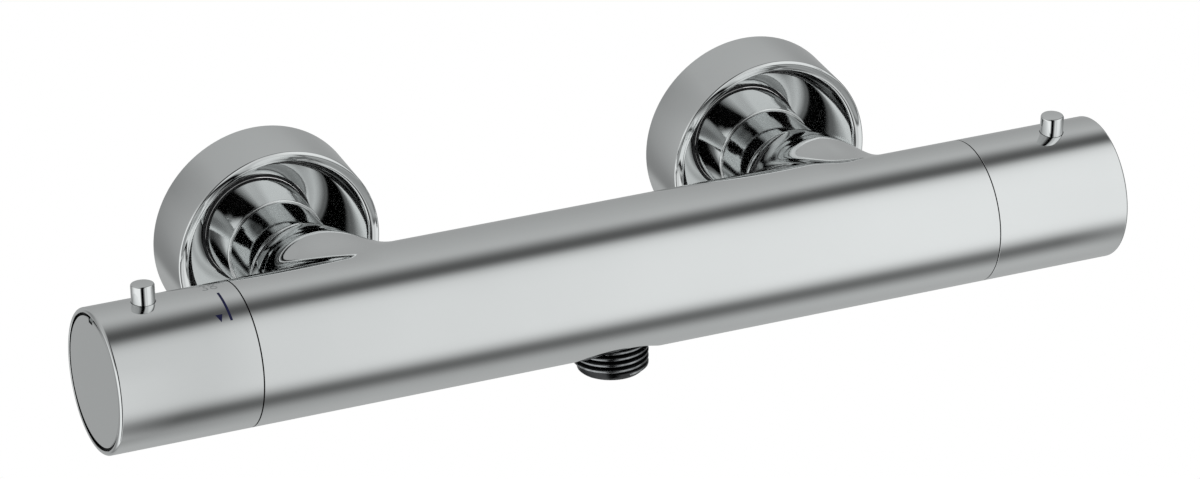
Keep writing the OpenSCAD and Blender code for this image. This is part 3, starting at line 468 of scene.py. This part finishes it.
def flare(side):
    """Rings of a boss's flare, from its round face to the bar, and its landing as (x, angle)."""
    rings = [[] for _ in range(FLARE_STEPS + 1)]
    loop = []
    nudge, turn = 0.01 * MM, 0.01
    for j in range(BOSS_STEPS):
        a = 2 * math.pi * j / BOSS_STEPS
        x = side * INLET_X + FLARE_REACH * math.cos(a)
        angle = 180 - math.degrees(FLARE_ANGLE * math.sin(a))
        start = Vector((side * INLET_X + BOSS_R * math.cos(a), BOSS_REACH - BOSS_EDGE,
            BOSS_R * math.sin(a)))
        end = skin_point(x, angle)
        along = skin_point(x + nudge, angle) - skin_point(x - nudge, angle)
        across = skin_point(x, angle + turn) - skin_point(x, angle - turn)
        normal = along.cross(across).normalized()
        chord = start - end
        leave = Vector((FLARE_SLOPE * math.cos(a), -1, FLARE_SLOPE * math.sin(a))).normalized()
        arrive = (chord - normal * chord.dot(normal)).normalized()
        b = start + leave * (FLARE_RIM_SHARE * chord.length)
        c = end + arrive * (FLARE_BAR_SHARE * chord.length)
        for k in range(FLARE_STEPS + 1):
            t = k / FLARE_STEPS
            u = 1 - t
            rings[k].append(start * u**3 + b * (3 * u * u * t) + c * (3 * u * t * t) + end * t**3)
        loop.append((x, angle % 360))
    return rings, loop


def boss(side):
    """Rings of a boss from its socket's floor to the bar, and its landing as (x, angle)."""
    rings, loop = flare(side)
    edge_r, edge_w = BOSS_R - BOSS_EDGE, BOSS_REACH - BOSS_EDGE
    tower = [
        (edge_r + BOSS_EDGE * math.cos(t), edge_w + BOSS_EDGE * math.sin(t))
        for t in (math.pi / 8, math.pi / 4, 3 * math.pi / 8, math.pi / 2)
    ]
    bore = THREAD_R + CLEAR
    tower += [(bore, BOSS_REACH), (bore, BOSS_REACH - SOCKET_DEPTH)]
    tower_rings = [
        [Vector((side * INLET_X + r * c, w, r * s)) for c, s in circle(BOSS_STEPS)]
        for r, w in reversed(tower)
    ]
    return tower_rings + rings, loop


def recess():
    """Rings of the recess round the outlet, from the bar inwards, and its edge as (x, angle)."""
    edge, loop = [], []
    for c, s in circle(BOSS_STEPS):
        x, y = RECESS_R * c, RECESS_R * s
        z = -math.sqrt(BAR_R**2 - y * y)
        edge.append(Vector((x, y, z)))
        loop.append((x, math.degrees(math.atan2(z, -y)) % 360))
    bore = THREAD_R - 0.85 * MM
    deep = ((RECESS_R, RECESS_Z), (bore, RECESS_Z), (bore, RECESS_Z - 3.3 * MM))
    rings = [[Vector((r * c, r * s, -z)) for c, s in circle(BOSS_STEPS)] for r, z in deep]
    return [edge] + rings, loop


def body_end(side):
    """Rings of the body's end face and of the cavity's mouth."""
    mouth = ((BAR_R, BODY_SHORT), (MOUTH_R, BODY_SHORT), (MOUTH_R, MOUTH_DEPTH))
    return [
        [Vector((side * (END_X - depth), -r * c, r * s)) for c, s in circle(ROUND_STEPS)]
        for r, depth in mouth
    ]


def seen_from(middle, x, angle):
    """Direction and distance of a place on the bar's skin, laid flat, from a middle."""
    dx, dy = x - middle[0], (angle - middle[1]) * FLAT
    return math.atan2(dy, dx), math.hypot(dx, dy)


def near_hole(x, angle, holes, margin=0.6 * MM):
    """Whether a place on the bar's skin is in a hole or just beside one."""
    for middle, rim in holes:
        here, reach = seen_from(middle, x, angle)
        for j, (one, one_reach) in enumerate(rim):
            other, other_reach = rim[(j + 1) % len(rim)]
            if abs(one - other) > math.pi:
                continue
            between = min(one, other) <= here <= max(one, other)
            if between and reach < max(one_reach, other_reach) + margin:
                return True
    return False


def bar_skin(loops):
    """Skin of the bar, opened inside each loop."""
    outlines = [[Vector((x, angle * FLAT)) for x, angle in loop] for loop in loops]
    points, edges, holes = [], [], []
    for outline in outlines:
        first, n = len(points), len(outline)
        points += outline
        edges += [(first + j, first + (j + 1) % n) for j in range(n)]
    for loop in loops:
        middle = (sum(x for x, _ in loop) / len(loop), sum(a for _, a in loop) / len(loop))
        holes.append((middle, [seen_from(middle, x, angle) for x, angle in loop]))
    for i in range(LONG_STEPS + 1):
        x = (2 * i / LONG_STEPS - 1) * (END_X - BODY_SHORT)
        for j in range(ROUND_STEPS + 1):
            angle = 360 * j / ROUND_STEPS
            border = i in (0, LONG_STEPS) or j in (0, ROUND_STEPS)
            if border or not near_hole(x, angle, holes):
                points.append(Vector((x, angle * FLAT)))
    out_points, _, out_faces, _, _, _ = delaunay_2d_cdt(points, edges, [], 0, 1e-9)
    faces = []
    for face in out_faces:
        middle = sum((out_points[v] for v in face), Vector((0, 0))) / len(face)
        if not any(inside_outline(middle, outline) for outline in outlines):
            faces.append(face)
    return [skin_point(p.x, p.y / FLAT) for p in out_points], faces


def build_body():
    verts, faces, loops = [], [], []
    for side in (-1, 1):
        rings, loop = boss(side)
        add_tube(verts, faces, rings, 0)
        loops.append(loop)
    rings, loop = recess()
    add_tube(verts, faces, rings, len(rings) - 1)
    loops.append(loop)
    skin_verts, skin_faces = bar_skin(loops)
    start = len(verts)
    verts += skin_verts
    faces += [[start + v for v in face] for face in skin_faces]
    for side in (-1, 1):
        rings = body_end(side)
        add_tube(verts, faces, rings, len(rings) - 1)
    shift = Vector((0, AXIS_Y, AXIS_Z))
    return [v + shift for v in verts], faces


verts, faces = build_body()
body_skin = new_object(
    "body_skin", verts, faces, chrome, "valve", "polished_chrome", ["valve_body"], sharp=28
)
# The body's end faces in the seams are painted near black, as painted shade
paint(body_skin, painted_shade_chrome, lambda p: abs(p.x) > END_X - BODY_SHORT - 0.01 * MM)


# Collars, nuts, rosettes and unions of both inlets


def ring_profile(r_out, r_in, low, high):
    return [(r_in, low), (r_out, low), (r_out, high), (r_in, high)]


def build_inlet(side, name, body):
    place = inlet(side)
    collar = ring_profile(COLLAR_R, THREAD_R + CLEAR, BOSS_REACH + CLEAR, COLLAR_END)
    turned(name + "_collar_skin", rounded(collar, 0.35 * MM, 4, only=(1, 2)), place, chrome,
        "valve", "polished_chrome", [name + "_collar"])
    # The nut's front edge, in millimetres inwards and along; from there it widens to its foot
    taper = ((1.3, 0), (1.15, 0.02), (1, 0.12), (0.9, 0.3), (0.8, 0.7))
    lip_end = NUT_START + NUT_LIP
    nut = [(NUT_LIP_R, NUT_START)]
    nut += [(NUT_R - inward * MM, NUT_START + along * MM) for inward, along in taper]
    nut += [(NUT_R, NUT_END), (NUT_IN_R, NUT_END), (NUT_IN_R, lip_end), (NUT_LIP_R, lip_end)]
    turned(name + "_nut_skin", nut, place, chrome, "valve", "polished_chrome",
        [name + "_union_nut"])
    grip = ring_profile(HOLE_R - 0.06 * MM, NUT_R + CLEAR, NUT_END + 0.1 * MM, WALL - 0.1 * MM)
    turned(name + "_grip_skin", rounded(grip, 0.12 * MM), place, rubber, body, "rubber",
        [name + "_rosette_ring"])
    turned(name + "_rosette_skin", rosette_profile(), place, chrome, body, "polished_chrome",
        [name + "_rosette"], FINE_STEPS)


def rosette_profile():
    """Closed profile of the bowl: rounded lip, spherical bowl, hollow back and skirt."""
    rim_r, rim_w = 26.7 * MM, ROSETTE_FRONT + 1.3 * MM
    hole_w = WALL - 0.8 * MM
    # Middle of the sphere, on the axis, so that it passes the rim and the hole's edge
    middle = (hole_w**2 - rim_w**2 + HOLE_R**2 - rim_r**2) / (2 * (hole_w - rim_w))
    bowl_r = math.hypot(rim_r, rim_w - middle)
    steps = 28
    # Radius and depth behind the front, in millimetres
    lip = [(29.75, 0.6), (29.7, 0.35), (29.57, 0.17), (29.35, 0.07), (28.8, 0.01), (28.2, 0),
        (27.7, 0.06), (27.3, 0.16), (27.05, 0.29), (26.86, 0.5), (26.75, 0.8)]
    lip = [(r * MM, ROSETTE_FRONT + w * MM) for r, w in lip] + [(rim_r, rim_w)]
    first, last = math.asin(rim_r / bowl_r), math.asin(HOLE_R / bowl_r)
    bowl = []
    for i in range(1, steps + 1):
        a = first + (last - first) * i / steps
        bowl.append((bowl_r * math.sin(a), middle + bowl_r * math.cos(a)))
    back_r = bowl_r + 1.2 * MM
    flat_w = WALL - CLEAR
    skirt_in = ROSETTE_R - 1.8 * MM
    first, last = math.acos((flat_w - middle) / back_r), math.asin((skirt_in - 0.6 * MM) / back_r)
    back = [(HOLE_R, flat_w)]
    for i in range(steps + 1):
        a = first + (last - first) * i / steps
        back.append((back_r * math.sin(a), middle + back_r * math.cos(a)))
    edge = 0.25 * MM
    foot = [(skirt_in, WALL), (ROSETTE_R - edge, WALL), (ROSETTE_R, WALL - edge)]
    return lip + bowl + back + foot


for side, name in ((-1, "hot"), (1, "cold")):
    build_inlet(side, name, name + "_cover")


# Handles


def handle_profile(more):
    """Closed profile of a handle, in metres out of the body's end."""
    length = HANDLE_END - END_X + more
    in_r = BAR_R - 2.2 * MM
    seat_r = BAR_R - 1.3 * MM
    spigot = CAP_R - 1.15 * MM
    plate = CAP_FACE - END_X - 1.5 * MM + more
    web = plate - 2.8 * MM
    end_t = 1.7 * MM
    hub_r, bush_r = 9 * MM, 7 * MM
    hub_root, hub_tip = web - 4.5 * MM, web - 7.5 * MM
    seam_edge = 0.04 * MM
    start = [(in_r, SEAM), (BAR_R - seam_edge, SEAM), (BAR_R, SEAM + seam_edge)]
    front = [(seat_r + 0.1 * MM, length), (seat_r, length - 0.1 * MM), (seat_r, plate),
        (spigot, plate), (spigot, web), (0, web)]
    back = [(0, web - end_t), (bush_r, web - end_t), (bush_r, hub_tip), (hub_r, hub_tip),
        (hub_r, hub_root), (in_r, hub_root)]
    return start + round_edge(BAR_R, length, 0.8 * MM, 6) + front + back


def cap_profile(more):
    face = CAP_FACE - END_X + more
    plate = face - 1.5 * MM
    spigot = CAP_R - 1.2 * MM
    spigot_in = spigot - 1.4 * MM
    bevel, small = 0.35 * MM, 0.1 * MM
    back = plate - 1.7 * MM
    return [(0, plate), (spigot_in, plate), (spigot_in, back), (spigot, back), (spigot, plate),
        (CAP_R, plate), (CAP_R, face - bevel), (CAP_R - small, face - small),
        (CAP_R - bevel, face), (CAP_R - bevel - small, face), (0, face)]


def button_profile():
    low = 12.8 * MM
    step = 15 * MM
    spigot, hole, deep = 2.7 * MM, 2.2 * MM, BAR_R
    foot = [(hole, low), (spigot, low), (spigot, step), (BUTTON_R, step)]
    top = round_edge(BUTTON_R, BUTTON_TOP, 0.6 * MM, 5)
    return foot + top + [(0, BUTTON_TOP), (0, deep), (hole, deep)]


def cut(target, cutter_verts, cutter_faces):
    """Cuts a closed mesh out of a piece, for good."""
    mesh = bpy.data.meshes.new("cutter")
    mesh.from_pydata([tuple(v) for v in cutter_verts], [], cutter_faces)
    bm = bmesh.new()
    bm.from_mesh(mesh)
    bmesh.ops.recalc_face_normals(bm, faces=bm.faces)
    bm.to_mesh(mesh)
    bm.free()
    cutter = bpy.data.objects.new("cutter", mesh)
    bpy.context.scene.collection.objects.link(cutter)
    modifier = target.modifiers.new("cut", "BOOLEAN")
    modifier.operation = "DIFFERENCE"
    modifier.solver = "EXACT"
    modifier.object = cutter
    bpy.context.view_layer.update()
    shaped = bpy.data.meshes.new_from_object(
        target.evaluated_get(bpy.context.evaluated_depsgraph_get()))
    target.modifiers.clear()
    old = target.data
    target.data = shaped
    bpy.data.meshes.remove(old)
    bpy.data.objects.remove(cutter)
    bpy.data.meshes.remove(mesh)
    shaped.polygons.foreach_set("use_smooth", [True] * len(shaped.polygons))
    shaped.set_sharp_from_angle(angle=math.radians(32))


def cut_hole(target, place, radius, low, high):
    """Cuts a round hole along the Z of a frame."""
    cut(target, *lathe([(0, low), (radius, low), (radius, high), (0, high)], place, 64))


def block(place, low, high):
    """Corners and faces of a box between two corners in a local frame."""
    corners = [
        place @ Vector((x, y, z))
        for z in (low[2], high[2]) for y in (low[1], high[1]) for x in (low[0], high[0])
    ]
    quads = [[0, 2, 3, 1], [4, 5, 7, 6], [0, 1, 5, 4], [2, 6, 7, 3], [0, 4, 6, 2], [1, 3, 7, 5]]
    return corners, quads


def build_end(side, name, angle, control, button_body):
    place, button_place = bar_end(side), button_axis(side, angle)
    more = LONGER[side]
    handle = turned(name + "_handle_skin", handle_profile(more), place, chrome, control,
        "polished_chrome", [name + "_handle"], FINE_STEPS)
    cut_hole(handle, button_place, BUTTON_R + 0.14 * MM, 16 * MM, 22 * MM)

    def in_painted_shade(p):
        """Faces painted near black as shade: in the seam, or in the groove round the cap."""
        out = p.x * side
        from_axis = math.hypot(p.y - AXIS_Y, p.z - AXIS_Z)
        in_groove = out > CAP_FACE + more - 2 * MM and from_axis < BAR_R - 1.28 * MM
        return out < END_X + SEAM + 0.01 * MM or in_groove

    # The seam face and the groove round the cap are painted near black, as painted shade
    paint(handle, painted_shade_chrome, in_painted_shade)
    oval = place @ Matrix.Diagonal((1, (BAR_R - 1.55 * MM) / CAP_R, 1, 1))
    cap = turned(name + "_cap_skin", cap_profile(more), oval, chrome, control,
        "polished_chrome", [name + "_cap"], FINE_STEPS)
    spin = Matrix.Rotation(math.radians(angle - 90) * -side, 4, "Z")
    face = CAP_FACE + more - END_X
    notch = block(place @ spin, (CAP_R - 1.4 * MM, -1.35 * MM, face - 1.2 * MM),
        (CAP_R + 1 * MM, 1.35 * MM, face + 1 * MM))
    cut(cap, *notch)
    turned(name + "_button_skin", button_profile(), button_place, chrome, button_body,
        "polished_chrome", [name + "_button"], 72)


build_end(-1, "temperature", LEFT_ANGLE, "temperature_control", "temperature_stop_button")
build_end(1, "flow", RIGHT_ANGLE, "flow_control", "flow_stop_button")


# Threads


def nipple_core():
    end_r = THREAD_R - THREAD_DEPTH - CLEAR
    tail, bore, edge = THREAD_R - 0.9 * MM, 6.5 * MM, 0.3 * MM
    return [(bore, NIPPLE_TOP), (tail, NIPPLE_TOP), (tail, RECESS_Z), (end_r, RECESS_Z),
        (end_r, NIPPLE_END - edge), (end_r - edge, NIPPLE_END), (bore + edge, NIPPLE_END),
        (bore, NIPPLE_END - edge)]


def helix_thread(name, place, low, high, crest, depth, material, body, slot, segments=96):
    """A thread ridge wound as one solid band that tapers away at both ends."""
    root = crest - depth
    pitch = THREAD_PITCH
    # Outline of the ridge: rise above the root, and place along it as a share of the pitch
    section = [(-0.1 * MM, -0.49), (0, -0.49), (depth - 0.1 * MM, -0.17), (depth - 0.02 * MM, -0.12),
        (depth, -0.06), (depth, 0.06), (depth - 0.02 * MM, 0.12), (depth - 0.1 * MM, 0.17),
        (0, 0.49), (-0.1 * MM, 0.49)]
    turns = (high - low) / pitch - 1
    count = int(turns * segments)
    verts, faces = [], []
    for i in range(count + 1):
        a = 2 * math.pi * i / segments
        h = low + pitch * (0.5 + i / segments)
        fade = max(0.02, min(1, i / (0.25 * segments), (count - i) / (0.3 * segments)))
        for rise, share in section:
            r = root + (rise * fade if rise > 0 else rise)
            verts.append(place @ Vector((r * math.cos(a), r * math.sin(a), h + share * pitch)))
    n = len(section)
    for i in range(count):
        for j in range(n):
            k = (j + 1) % n
            faces.append([i * n + j, (i + 1) * n + j, (i + 1) * n + k, i * n + k])
    faces.append(list(range(n)))
    faces.append([count * n + j for j in range(n)])
    return new_object(name, verts, faces, material, body, slot, sharp=50)


def build_outlet():
    place = outlet()
    # The outlet's core and its thread flanks are painted near black, as painted shade
    turned("outlet_core", nipple_core(), place, painted_shade_chrome, "valve", "polished_chrome",
        ["outlet_nipple"], 128)
    ridge = helix_thread("outlet_thread", place, RECESS_Z + 0.1 * MM, NIPPLE_END - 0.15 * MM,
        THREAD_R, THREAD_DEPTH, painted_shade_chrome, "valve", "polished_chrome")
    # The thread's crests get the lighter chrome, a painted highlight
    paint(ridge, painted_highlight_chrome, lambda p: math.hypot(p.x, p.y - AXIS_Y) > THREAD_R - 0.45 * MM)


build_outlet()


def build_union(side, name):
    """Offset union: front stub on the nut's axis, disc, and threaded stub on the wall's axis."""
    front, back = inlet(side), wall_thread(side)
    slot, edge = "plated_union", 0.3 * MM
    tube = ring_profile(UNION_R, UNION_BORE, UNION_FRONT, DISC_START + CLEAR)
    turned(name + "_union_front", rounded(tube, edge), front, plated, "valve", slot, segments=96)
    middle = inlet(side)
    middle.translation.z = union_high.z - DISC_R
    plate = [(0, DISC_START), (DISC_R, DISC_START), (DISC_R, DISC_END), (0, DISC_END)]
    disc = turned(name + "_union_disc", rounded(plate, 0.4 * MM), middle, plated, "valve", slot,
        [name + "_wall_union"], 128)
    cut_hole(disc, front, UNION_BORE, DISC_START - 1 * MM, DISC_END - 0.3 * MM)
    cut_hole(disc, back, UNION_BORE, DISC_START + 0.3 * MM, DISC_END + 1 * MM)
    stub = ring_profile(THREAD_R - THREAD_DEPTH, UNION_BORE, DISC_END - CLEAR, UNION_BACK)
    turned(name + "_union_stub", rounded(stub, edge), back, plated, "valve", slot, segments=96)
    helix_thread(name + "_union_thread", back, DISC_END + 0.2 * MM, UNION_BACK - 0.3 * MM,
        THREAD_R, THREAD_DEPTH, plated, "valve", slot)


build_union(-1, "hot")
build_union(1, "cold")


# Marks on the temperature handle


def on_handle(s, angle, lift):
    """Place on the left handle's skin, at a distance from the bar's middle."""
    return Vector((s, AXIS_Y, AXIS_Z)) + turn_to(angle) * (BAR_R + lift)


def decal(name, outline, material, lift=0.02 * MM, sunk=0.05 * MM):
    """Thin inlay on the left handle, from an outline of (x, angle) points."""
    edge_points = [Vector((x, angle * FLAT)) for x, angle in outline]
    n = len(edge_points)
    points, edges = list(edge_points), [(i, (i + 1) % n) for i in range(n)]
    low_a, high_a = min(p.y for p in points), max(p.y for p in points)
    low_x, high_x = min(p.x for p in points), max(p.x for p in points)
    # Lines across the outline make its faces follow the curve
    rows = max(2, int((high_a - low_a) / (0.35 * MM)))
    for i in range(1, rows):
        y = low_a + (high_a - low_a) * i / rows
        edges.append((len(points), len(points) + 1))
        points += [Vector((low_x - 1 * MM, y)), Vector((high_x + 1 * MM, y))]
    out, _, found, _, _, _ = delaunay_2d_cdt(points, edges, [], 0, 1e-9)
    kept = []
    for face in found:
        middle = sum((out[v] for v in face), Vector((0, 0))) / len(face)
        if inside_outline(middle, edge_points):
            kept.append(list(face))
    # Edges with a face on one side only get a wall
    rim = {}
    for face in kept:
        for a, b in zip(face, face[1:] + face[:1]):
            if (b, a) in rim:
                rim.pop((b, a))
            else:
                rim[(a, b)] = True
    verts = [on_handle(p.x, p.y / FLAT, lift) for p in out]
    verts += [on_handle(p.x, p.y / FLAT, -sunk) for p in out]
    count = len(out)
    faces = kept + [[v + count for v in reversed(face)] for face in kept]
    faces += [[a, b, b + count, a + count] for a, b in rim]
    return new_object(name, verts, faces, material, "temperature_control", "polished_chrome")


def band(middle, half, width, start, stop):
    """Outline of a curved stroke: middle as (x, angle), half sizes and width in metres."""
    steps = max(6, int(abs(stop - start) / 15))
    outline = []
    for sign, turns in ((1, range(steps + 1)), (-1, range(steps, -1, -1))):
        for k in turns:
            a = math.radians(start + (stop - start) * k / steps)
            outline.append((middle[0] + (half[0] + sign * width / 2) * math.cos(a),
                middle[1] + (half[1] + sign * width / 2) * math.sin(a) / FLAT))
    return outline


def build_marks():
    s = -END_X
    bar_out, bar_in, low, high = s - 5.6 * MM, s - 4.9 * MM, 54.1, 84.8
    decal("cold_bar_mark", [(bar_out, low), (bar_in, low), (bar_in, high), (bar_out, high)], navy)
    left, right, base, tip = s - 9.1 * MM, s - 7.1 * MM, 61, 54
    decal("cold_arrow_mark", [(left, base), ((left + right) / 2, tip), (right, base)], navy)
    # The 38 and its degree ring, in millimetres and degrees: place out of the body's end and
    # round the bar, half sizes, stroke, start and stop. The halves of each figure just meet.
    figures = (
        ("figure_3_low", 7.6, 95.1, (0.78, 0.93), 0.42, -150, 82),
        ("figure_3_high", 7.6, 101.7, (0.7, 0.86), 0.42, -82, 150),
        ("figure_8_low", 5, 95.1, (0.82, 0.93), 0.42, -90, 270),
        ("figure_8_high", 5, 101.7, (0.7, 0.86), 0.42, -90, 270),
        ("degree_mark", 2.7, 103.6, (0.45, 0.45), 0.3, -90, 270),
    )
    for name, out, angle, (wide, tall), stroke, start, stop in figures:
        shape = band((s - out * MM, angle), (wide * MM, tall * MM), stroke * MM, start, stop)
        decal(name, shape, grey_mark)


build_marks()


# Studio


def ramp_values(nodes, stops, smoothing):
    """Ramp of grey values at places from 0 to 1."""
    ramp = nodes.new("ShaderNodeValToRGB")
    ramp.color_ramp.interpolation = smoothing
    while len(ramp.color_ramp.elements) > 1:
        ramp.color_ramp.elements.remove(ramp.color_ramp.elements[-1])
    ramp.color_ramp.elements[0].position = stops[0][0]
    ramp.color_ramp.elements[0].color = (stops[0][1],) * 3 + (1,)
    for place, value in stops[1:]:
        element = ramp.color_ramp.elements.new(place)
        element.color = (value,) * 3 + (1,)
    return ramp


def math_node(nodes, links, operation, *values):
    node = nodes.new("ShaderNodeMath")
    node.operation = operation
    for i, value in enumerate(values):
        if isinstance(value, (int, float)):
            node.inputs[i].default_value = value
        else:
            links.new(value, node.inputs[i])
    return node.outputs[0]


PLATING = 0.8
COOL = (0.98, 1.0, 1.0)
BAR_X = 0.37
# Brightness that the bar mirrors, by the angle from the front over the top to the back
STUDIO = ((-180, 150), (-150, 153), (-135, 162), (-106, 165), (-92, 164), (-84, 158), (-77, 144),
    (-69, 116), (-61, 92), (-53, 112), (-46, 155), (-38, 192), (-30, 210), (-20, 214), (0, 214),
    (40, 214), (62, 212), (74, 205), (83, 178), (91, 108), (98, 76), (106, 91), (114, 130),
    (122, 161), (130, 172), (142, 165), (160, 156), (180, 149))
# Brightness to both sides, by the compass angle from the front
SIDES = ((-180, 154), (-165, 159), (-161, 158), (-157, 140), (-154, 124), (-148, 124), (-141, 138),
    (-130, 168), (-115, 202), (-102, 221), (-85, 236), (-50, 237),
    (5, 220), (20, 212), (35, 220), (46, 226), (58, 207), (71, 157), (86, 107), (103, 90),
    (118, 108), (138, 143), (155, 153), (180, 151))
# Where the camera stands the studio has a slot: 0 in it, 1 beside it
SLOT = ((-180, 1), (-43, 1), (-36, 0), (-8, 0), (7, 1), (180, 1))
# The slot's black core, and its grey by the height of the direction
CORE = ((-180, 1), (-34, 1), (-31, 0), (-14, 0), (-11, 1), (180, 1))
SLOT_GREY = ((-1, 104), (0.26, 104), (0.33, 0), (1, 0))
# Slope and start or limits of the blends: brighter to one side, not so behind the bar,
# and the sides' own brightness far out and below
GAIN_SLOPE, GAIN_LOW, GAIN_HIGH = 2.0, 0.82, 1.1
BEHIND_SLOPE = 3.0
FAR_SLOPE, FAR_START = 4.0, -0.45
BELOW_SLOPE, BELOW_START = -2.5, 1.5


def ramp_stops(table, convert):
    low, high = table[0][0], table[-1][0]
    return [((a - low) / (high - low), convert(v)) for a, v in table]


def share_of_turn(nodes, links, up, along):
    """Angle of a direction as a share of the range from -180 to 180 degrees."""
    angle = math_node(nodes, links, "ARCTAN2", up, along)
    return math_node(nodes, links, "ADD", math_node(nodes, links, "DIVIDE", angle, 2 * math.pi), 0.5)


def looked_up(nodes, links, place, table, convert, smoothing):
    ramp = ramp_values(nodes, ramp_stops(table, convert), smoothing)
    links.new(place, ramp.inputs["Fac"])
    return ramp.outputs["Color"]


def blend(nodes, links, share, first, second):
    """First value at share 0, second at share 1."""
    step = math_node(nodes, links, "SUBTRACT", second, first)
    return math_node(nodes, links, "ADD", first, math_node(nodes, links, "MULTIPLY", step, share))


def limited(nodes, links, value, low, high):
    return math_node(nodes, links, "MINIMUM", math_node(nodes, links, "MAXIMUM", value, low), high)


def studio_brightness(nodes, links, direction):
    """What the metal sees in a direction, with the overhead gap set askew of the bar."""
    split = nodes.new("ShaderNodeSeparateXYZ")
    links.new(direction, split.inputs[0])
    x, y, z = split.outputs

    def lit(value):
        return srgb(value) / PLATING

    off = math_node(nodes, links, "SUBTRACT", x, BAR_X)
    skew = math_node(nodes, links, "MULTIPLY", off, math_node(nodes, links, "MAXIMUM", z, 0))
    front = math_node(nodes, links, "SUBTRACT", skew, y)
    above = looked_up(nodes, links, share_of_turn(nodes, links, z, front), STUDIO, lit, "B_SPLINE")
    gain = math_node(nodes, links, "MULTIPLY_ADD", off, GAIN_SLOPE, 1.0)
    gain = limited(nodes, links, gain, GAIN_LOW, GAIN_HIGH)
    behind = limited(nodes, links, math_node(nodes, links, "MULTIPLY", y, BEHIND_SLOPE), 0, 1)
    gain = blend(nodes, links, behind, gain, 1.0)
    above = math_node(nodes, links, "MULTIPLY", above, gain)
    compass = share_of_turn(nodes, links, x, math_node(nodes, links, "MULTIPLY", y, -1.0))
    aside = looked_up(nodes, links, compass, SIDES, lit, "B_SPLINE")
    away = math_node(nodes, links, "ABSOLUTE", off)
    far = math_node(nodes, links, "MULTIPLY_ADD", away, FAR_SLOPE, FAR_START)
    below = math_node(nodes, links, "MULTIPLY_ADD", z, BELOW_SLOPE, BELOW_START)
    share = math_node(nodes, links, "MULTIPLY", limited(nodes, links, far, 0, 1),
        limited(nodes, links, below, 0, 1))
    grey = blend(nodes, links, share, above, aside)
    open_share = looked_up(nodes, links, compass, SLOT, float, "LINEAR")
    height = math_node(nodes, links, "MULTIPLY_ADD", z, 0.5, 0.5)
    core = looked_up(nodes, links, compass, CORE, float, "LINEAR")
    slot = looked_up(nodes, links, height, SLOT_GREY, lit, "LINEAR")
    slot = math_node(nodes, links, "MULTIPLY", slot, core)
    grey = blend(nodes, links, open_share, slot, grey)
    cool = nodes.new("ShaderNodeVectorMath")
    cool.operation = "SCALE"
    cool.inputs[0].default_value = COOL
    links.new(grey, cool.inputs["Scale"])
    return cool.outputs[0]


def seen_in_metal(nodes, links):
    """Light Path node, and 1 for rays that come from metal or through glass, else 0."""
    light_path = nodes.new("ShaderNodeLightPath")
    return light_path, math_node(nodes, links, "MAXIMUM", light_path.outputs["Is Glossy Ray"],
        light_path.outputs["Is Transmission Ray"])


def build_world():
    world = bpy.data.worlds.new("studio")
    bpy.context.scene.world = world
    world.use_nodes = True
    nodes, links = world.node_tree.nodes, world.node_tree.links
    nodes.clear()
    place = nodes.new("ShaderNodeTexCoord")
    seen = nodes.new("ShaderNodeBackground")
    links.new(studio_brightness(nodes, links, place.outputs["Generated"]), seen.inputs["Color"])
    plain = nodes.new("ShaderNodeBackground")
    plain.inputs["Color"].default_value = (1, 1, 1, 1)
    plain.inputs["Strength"].default_value = 0.97
    light_path, metal = seen_in_metal(nodes, links)
    mix = nodes.new("ShaderNodeMixShader")
    links.new(metal, mix.inputs["Fac"])
    links.new(plain.outputs[0], mix.inputs[1])
    links.new(seen.outputs[0], mix.inputs[2])
    white = nodes.new("ShaderNodeBackground")
    white.inputs["Color"].default_value = (1, 1, 1, 1)
    white.inputs["Strength"].default_value = 1
    with_camera = nodes.new("ShaderNodeMixShader")
    links.new(light_path.outputs["Is Camera Ray"], with_camera.inputs["Fac"])
    links.new(mix.outputs[0], with_camera.inputs[1])
    links.new(white.outputs[0], with_camera.inputs[2])
    out = nodes.new("ShaderNodeOutputWorld")
    links.new(with_camera.outputs[0], out.inputs["Surface"])


def build_lamp(name, place, size, power):
    lamp = bpy.data.lights.new(name, "AREA")
    lamp.shape = "RECTANGLE"
    lamp.size, lamp.size_y = size
    lamp.energy = power
    obj = bpy.data.objects.new(name, lamp)
    obj.location = place
    obj.rotation_mode = "QUATERNION"
    obj.rotation_quaternion = (-Vector(place)).to_track_quat("-Z", "Y")
    obj.visible_glossy = False
    bpy.context.scene.collection.objects.link(obj)


def build_camera():
    """Camera fitted to the photograph: its place, yaw and pitch in the row frame."""
    camera = bpy.data.cameras.new("camera")
    camera.sensor_width = 36
    camera.lens = 193.459
    camera.clip_start, camera.clip_end = 0.05, 60
    obj = bpy.data.objects.new("camera", camera)
    yaw, pitch, roll = 0.4287, 0.4343, -0.0011
    forward = Vector((math.sin(yaw) * math.cos(pitch), math.cos(yaw) * math.cos(pitch),
        -math.sin(pitch)))
    right = forward.cross(Vector((0, 0, 1))).normalized()
    above = right.cross(forward)
    across = right * math.cos(roll) + above * math.sin(roll)
    upright = above * math.cos(roll) - right * math.sin(roll)
    m = Matrix((across, upright, -forward)).transposed().to_4x4()
    from_bar = Vector((-664.4121, -1446.8329, 750.8425)) * MM
    m.translation = from_bar + Vector((0, AXIS_Y, AXIS_Z))
    obj.matrix_world = m
    bpy.context.scene.collection.objects.link(obj)
    bpy.context.scene.camera = obj


bpy.context.scene.view_settings.view_transform = "Standard"
build_world()
build_lamp("overhead", (-0.6, -1.2, 1.8), (1.6, 1.2), 6)
build_camera()
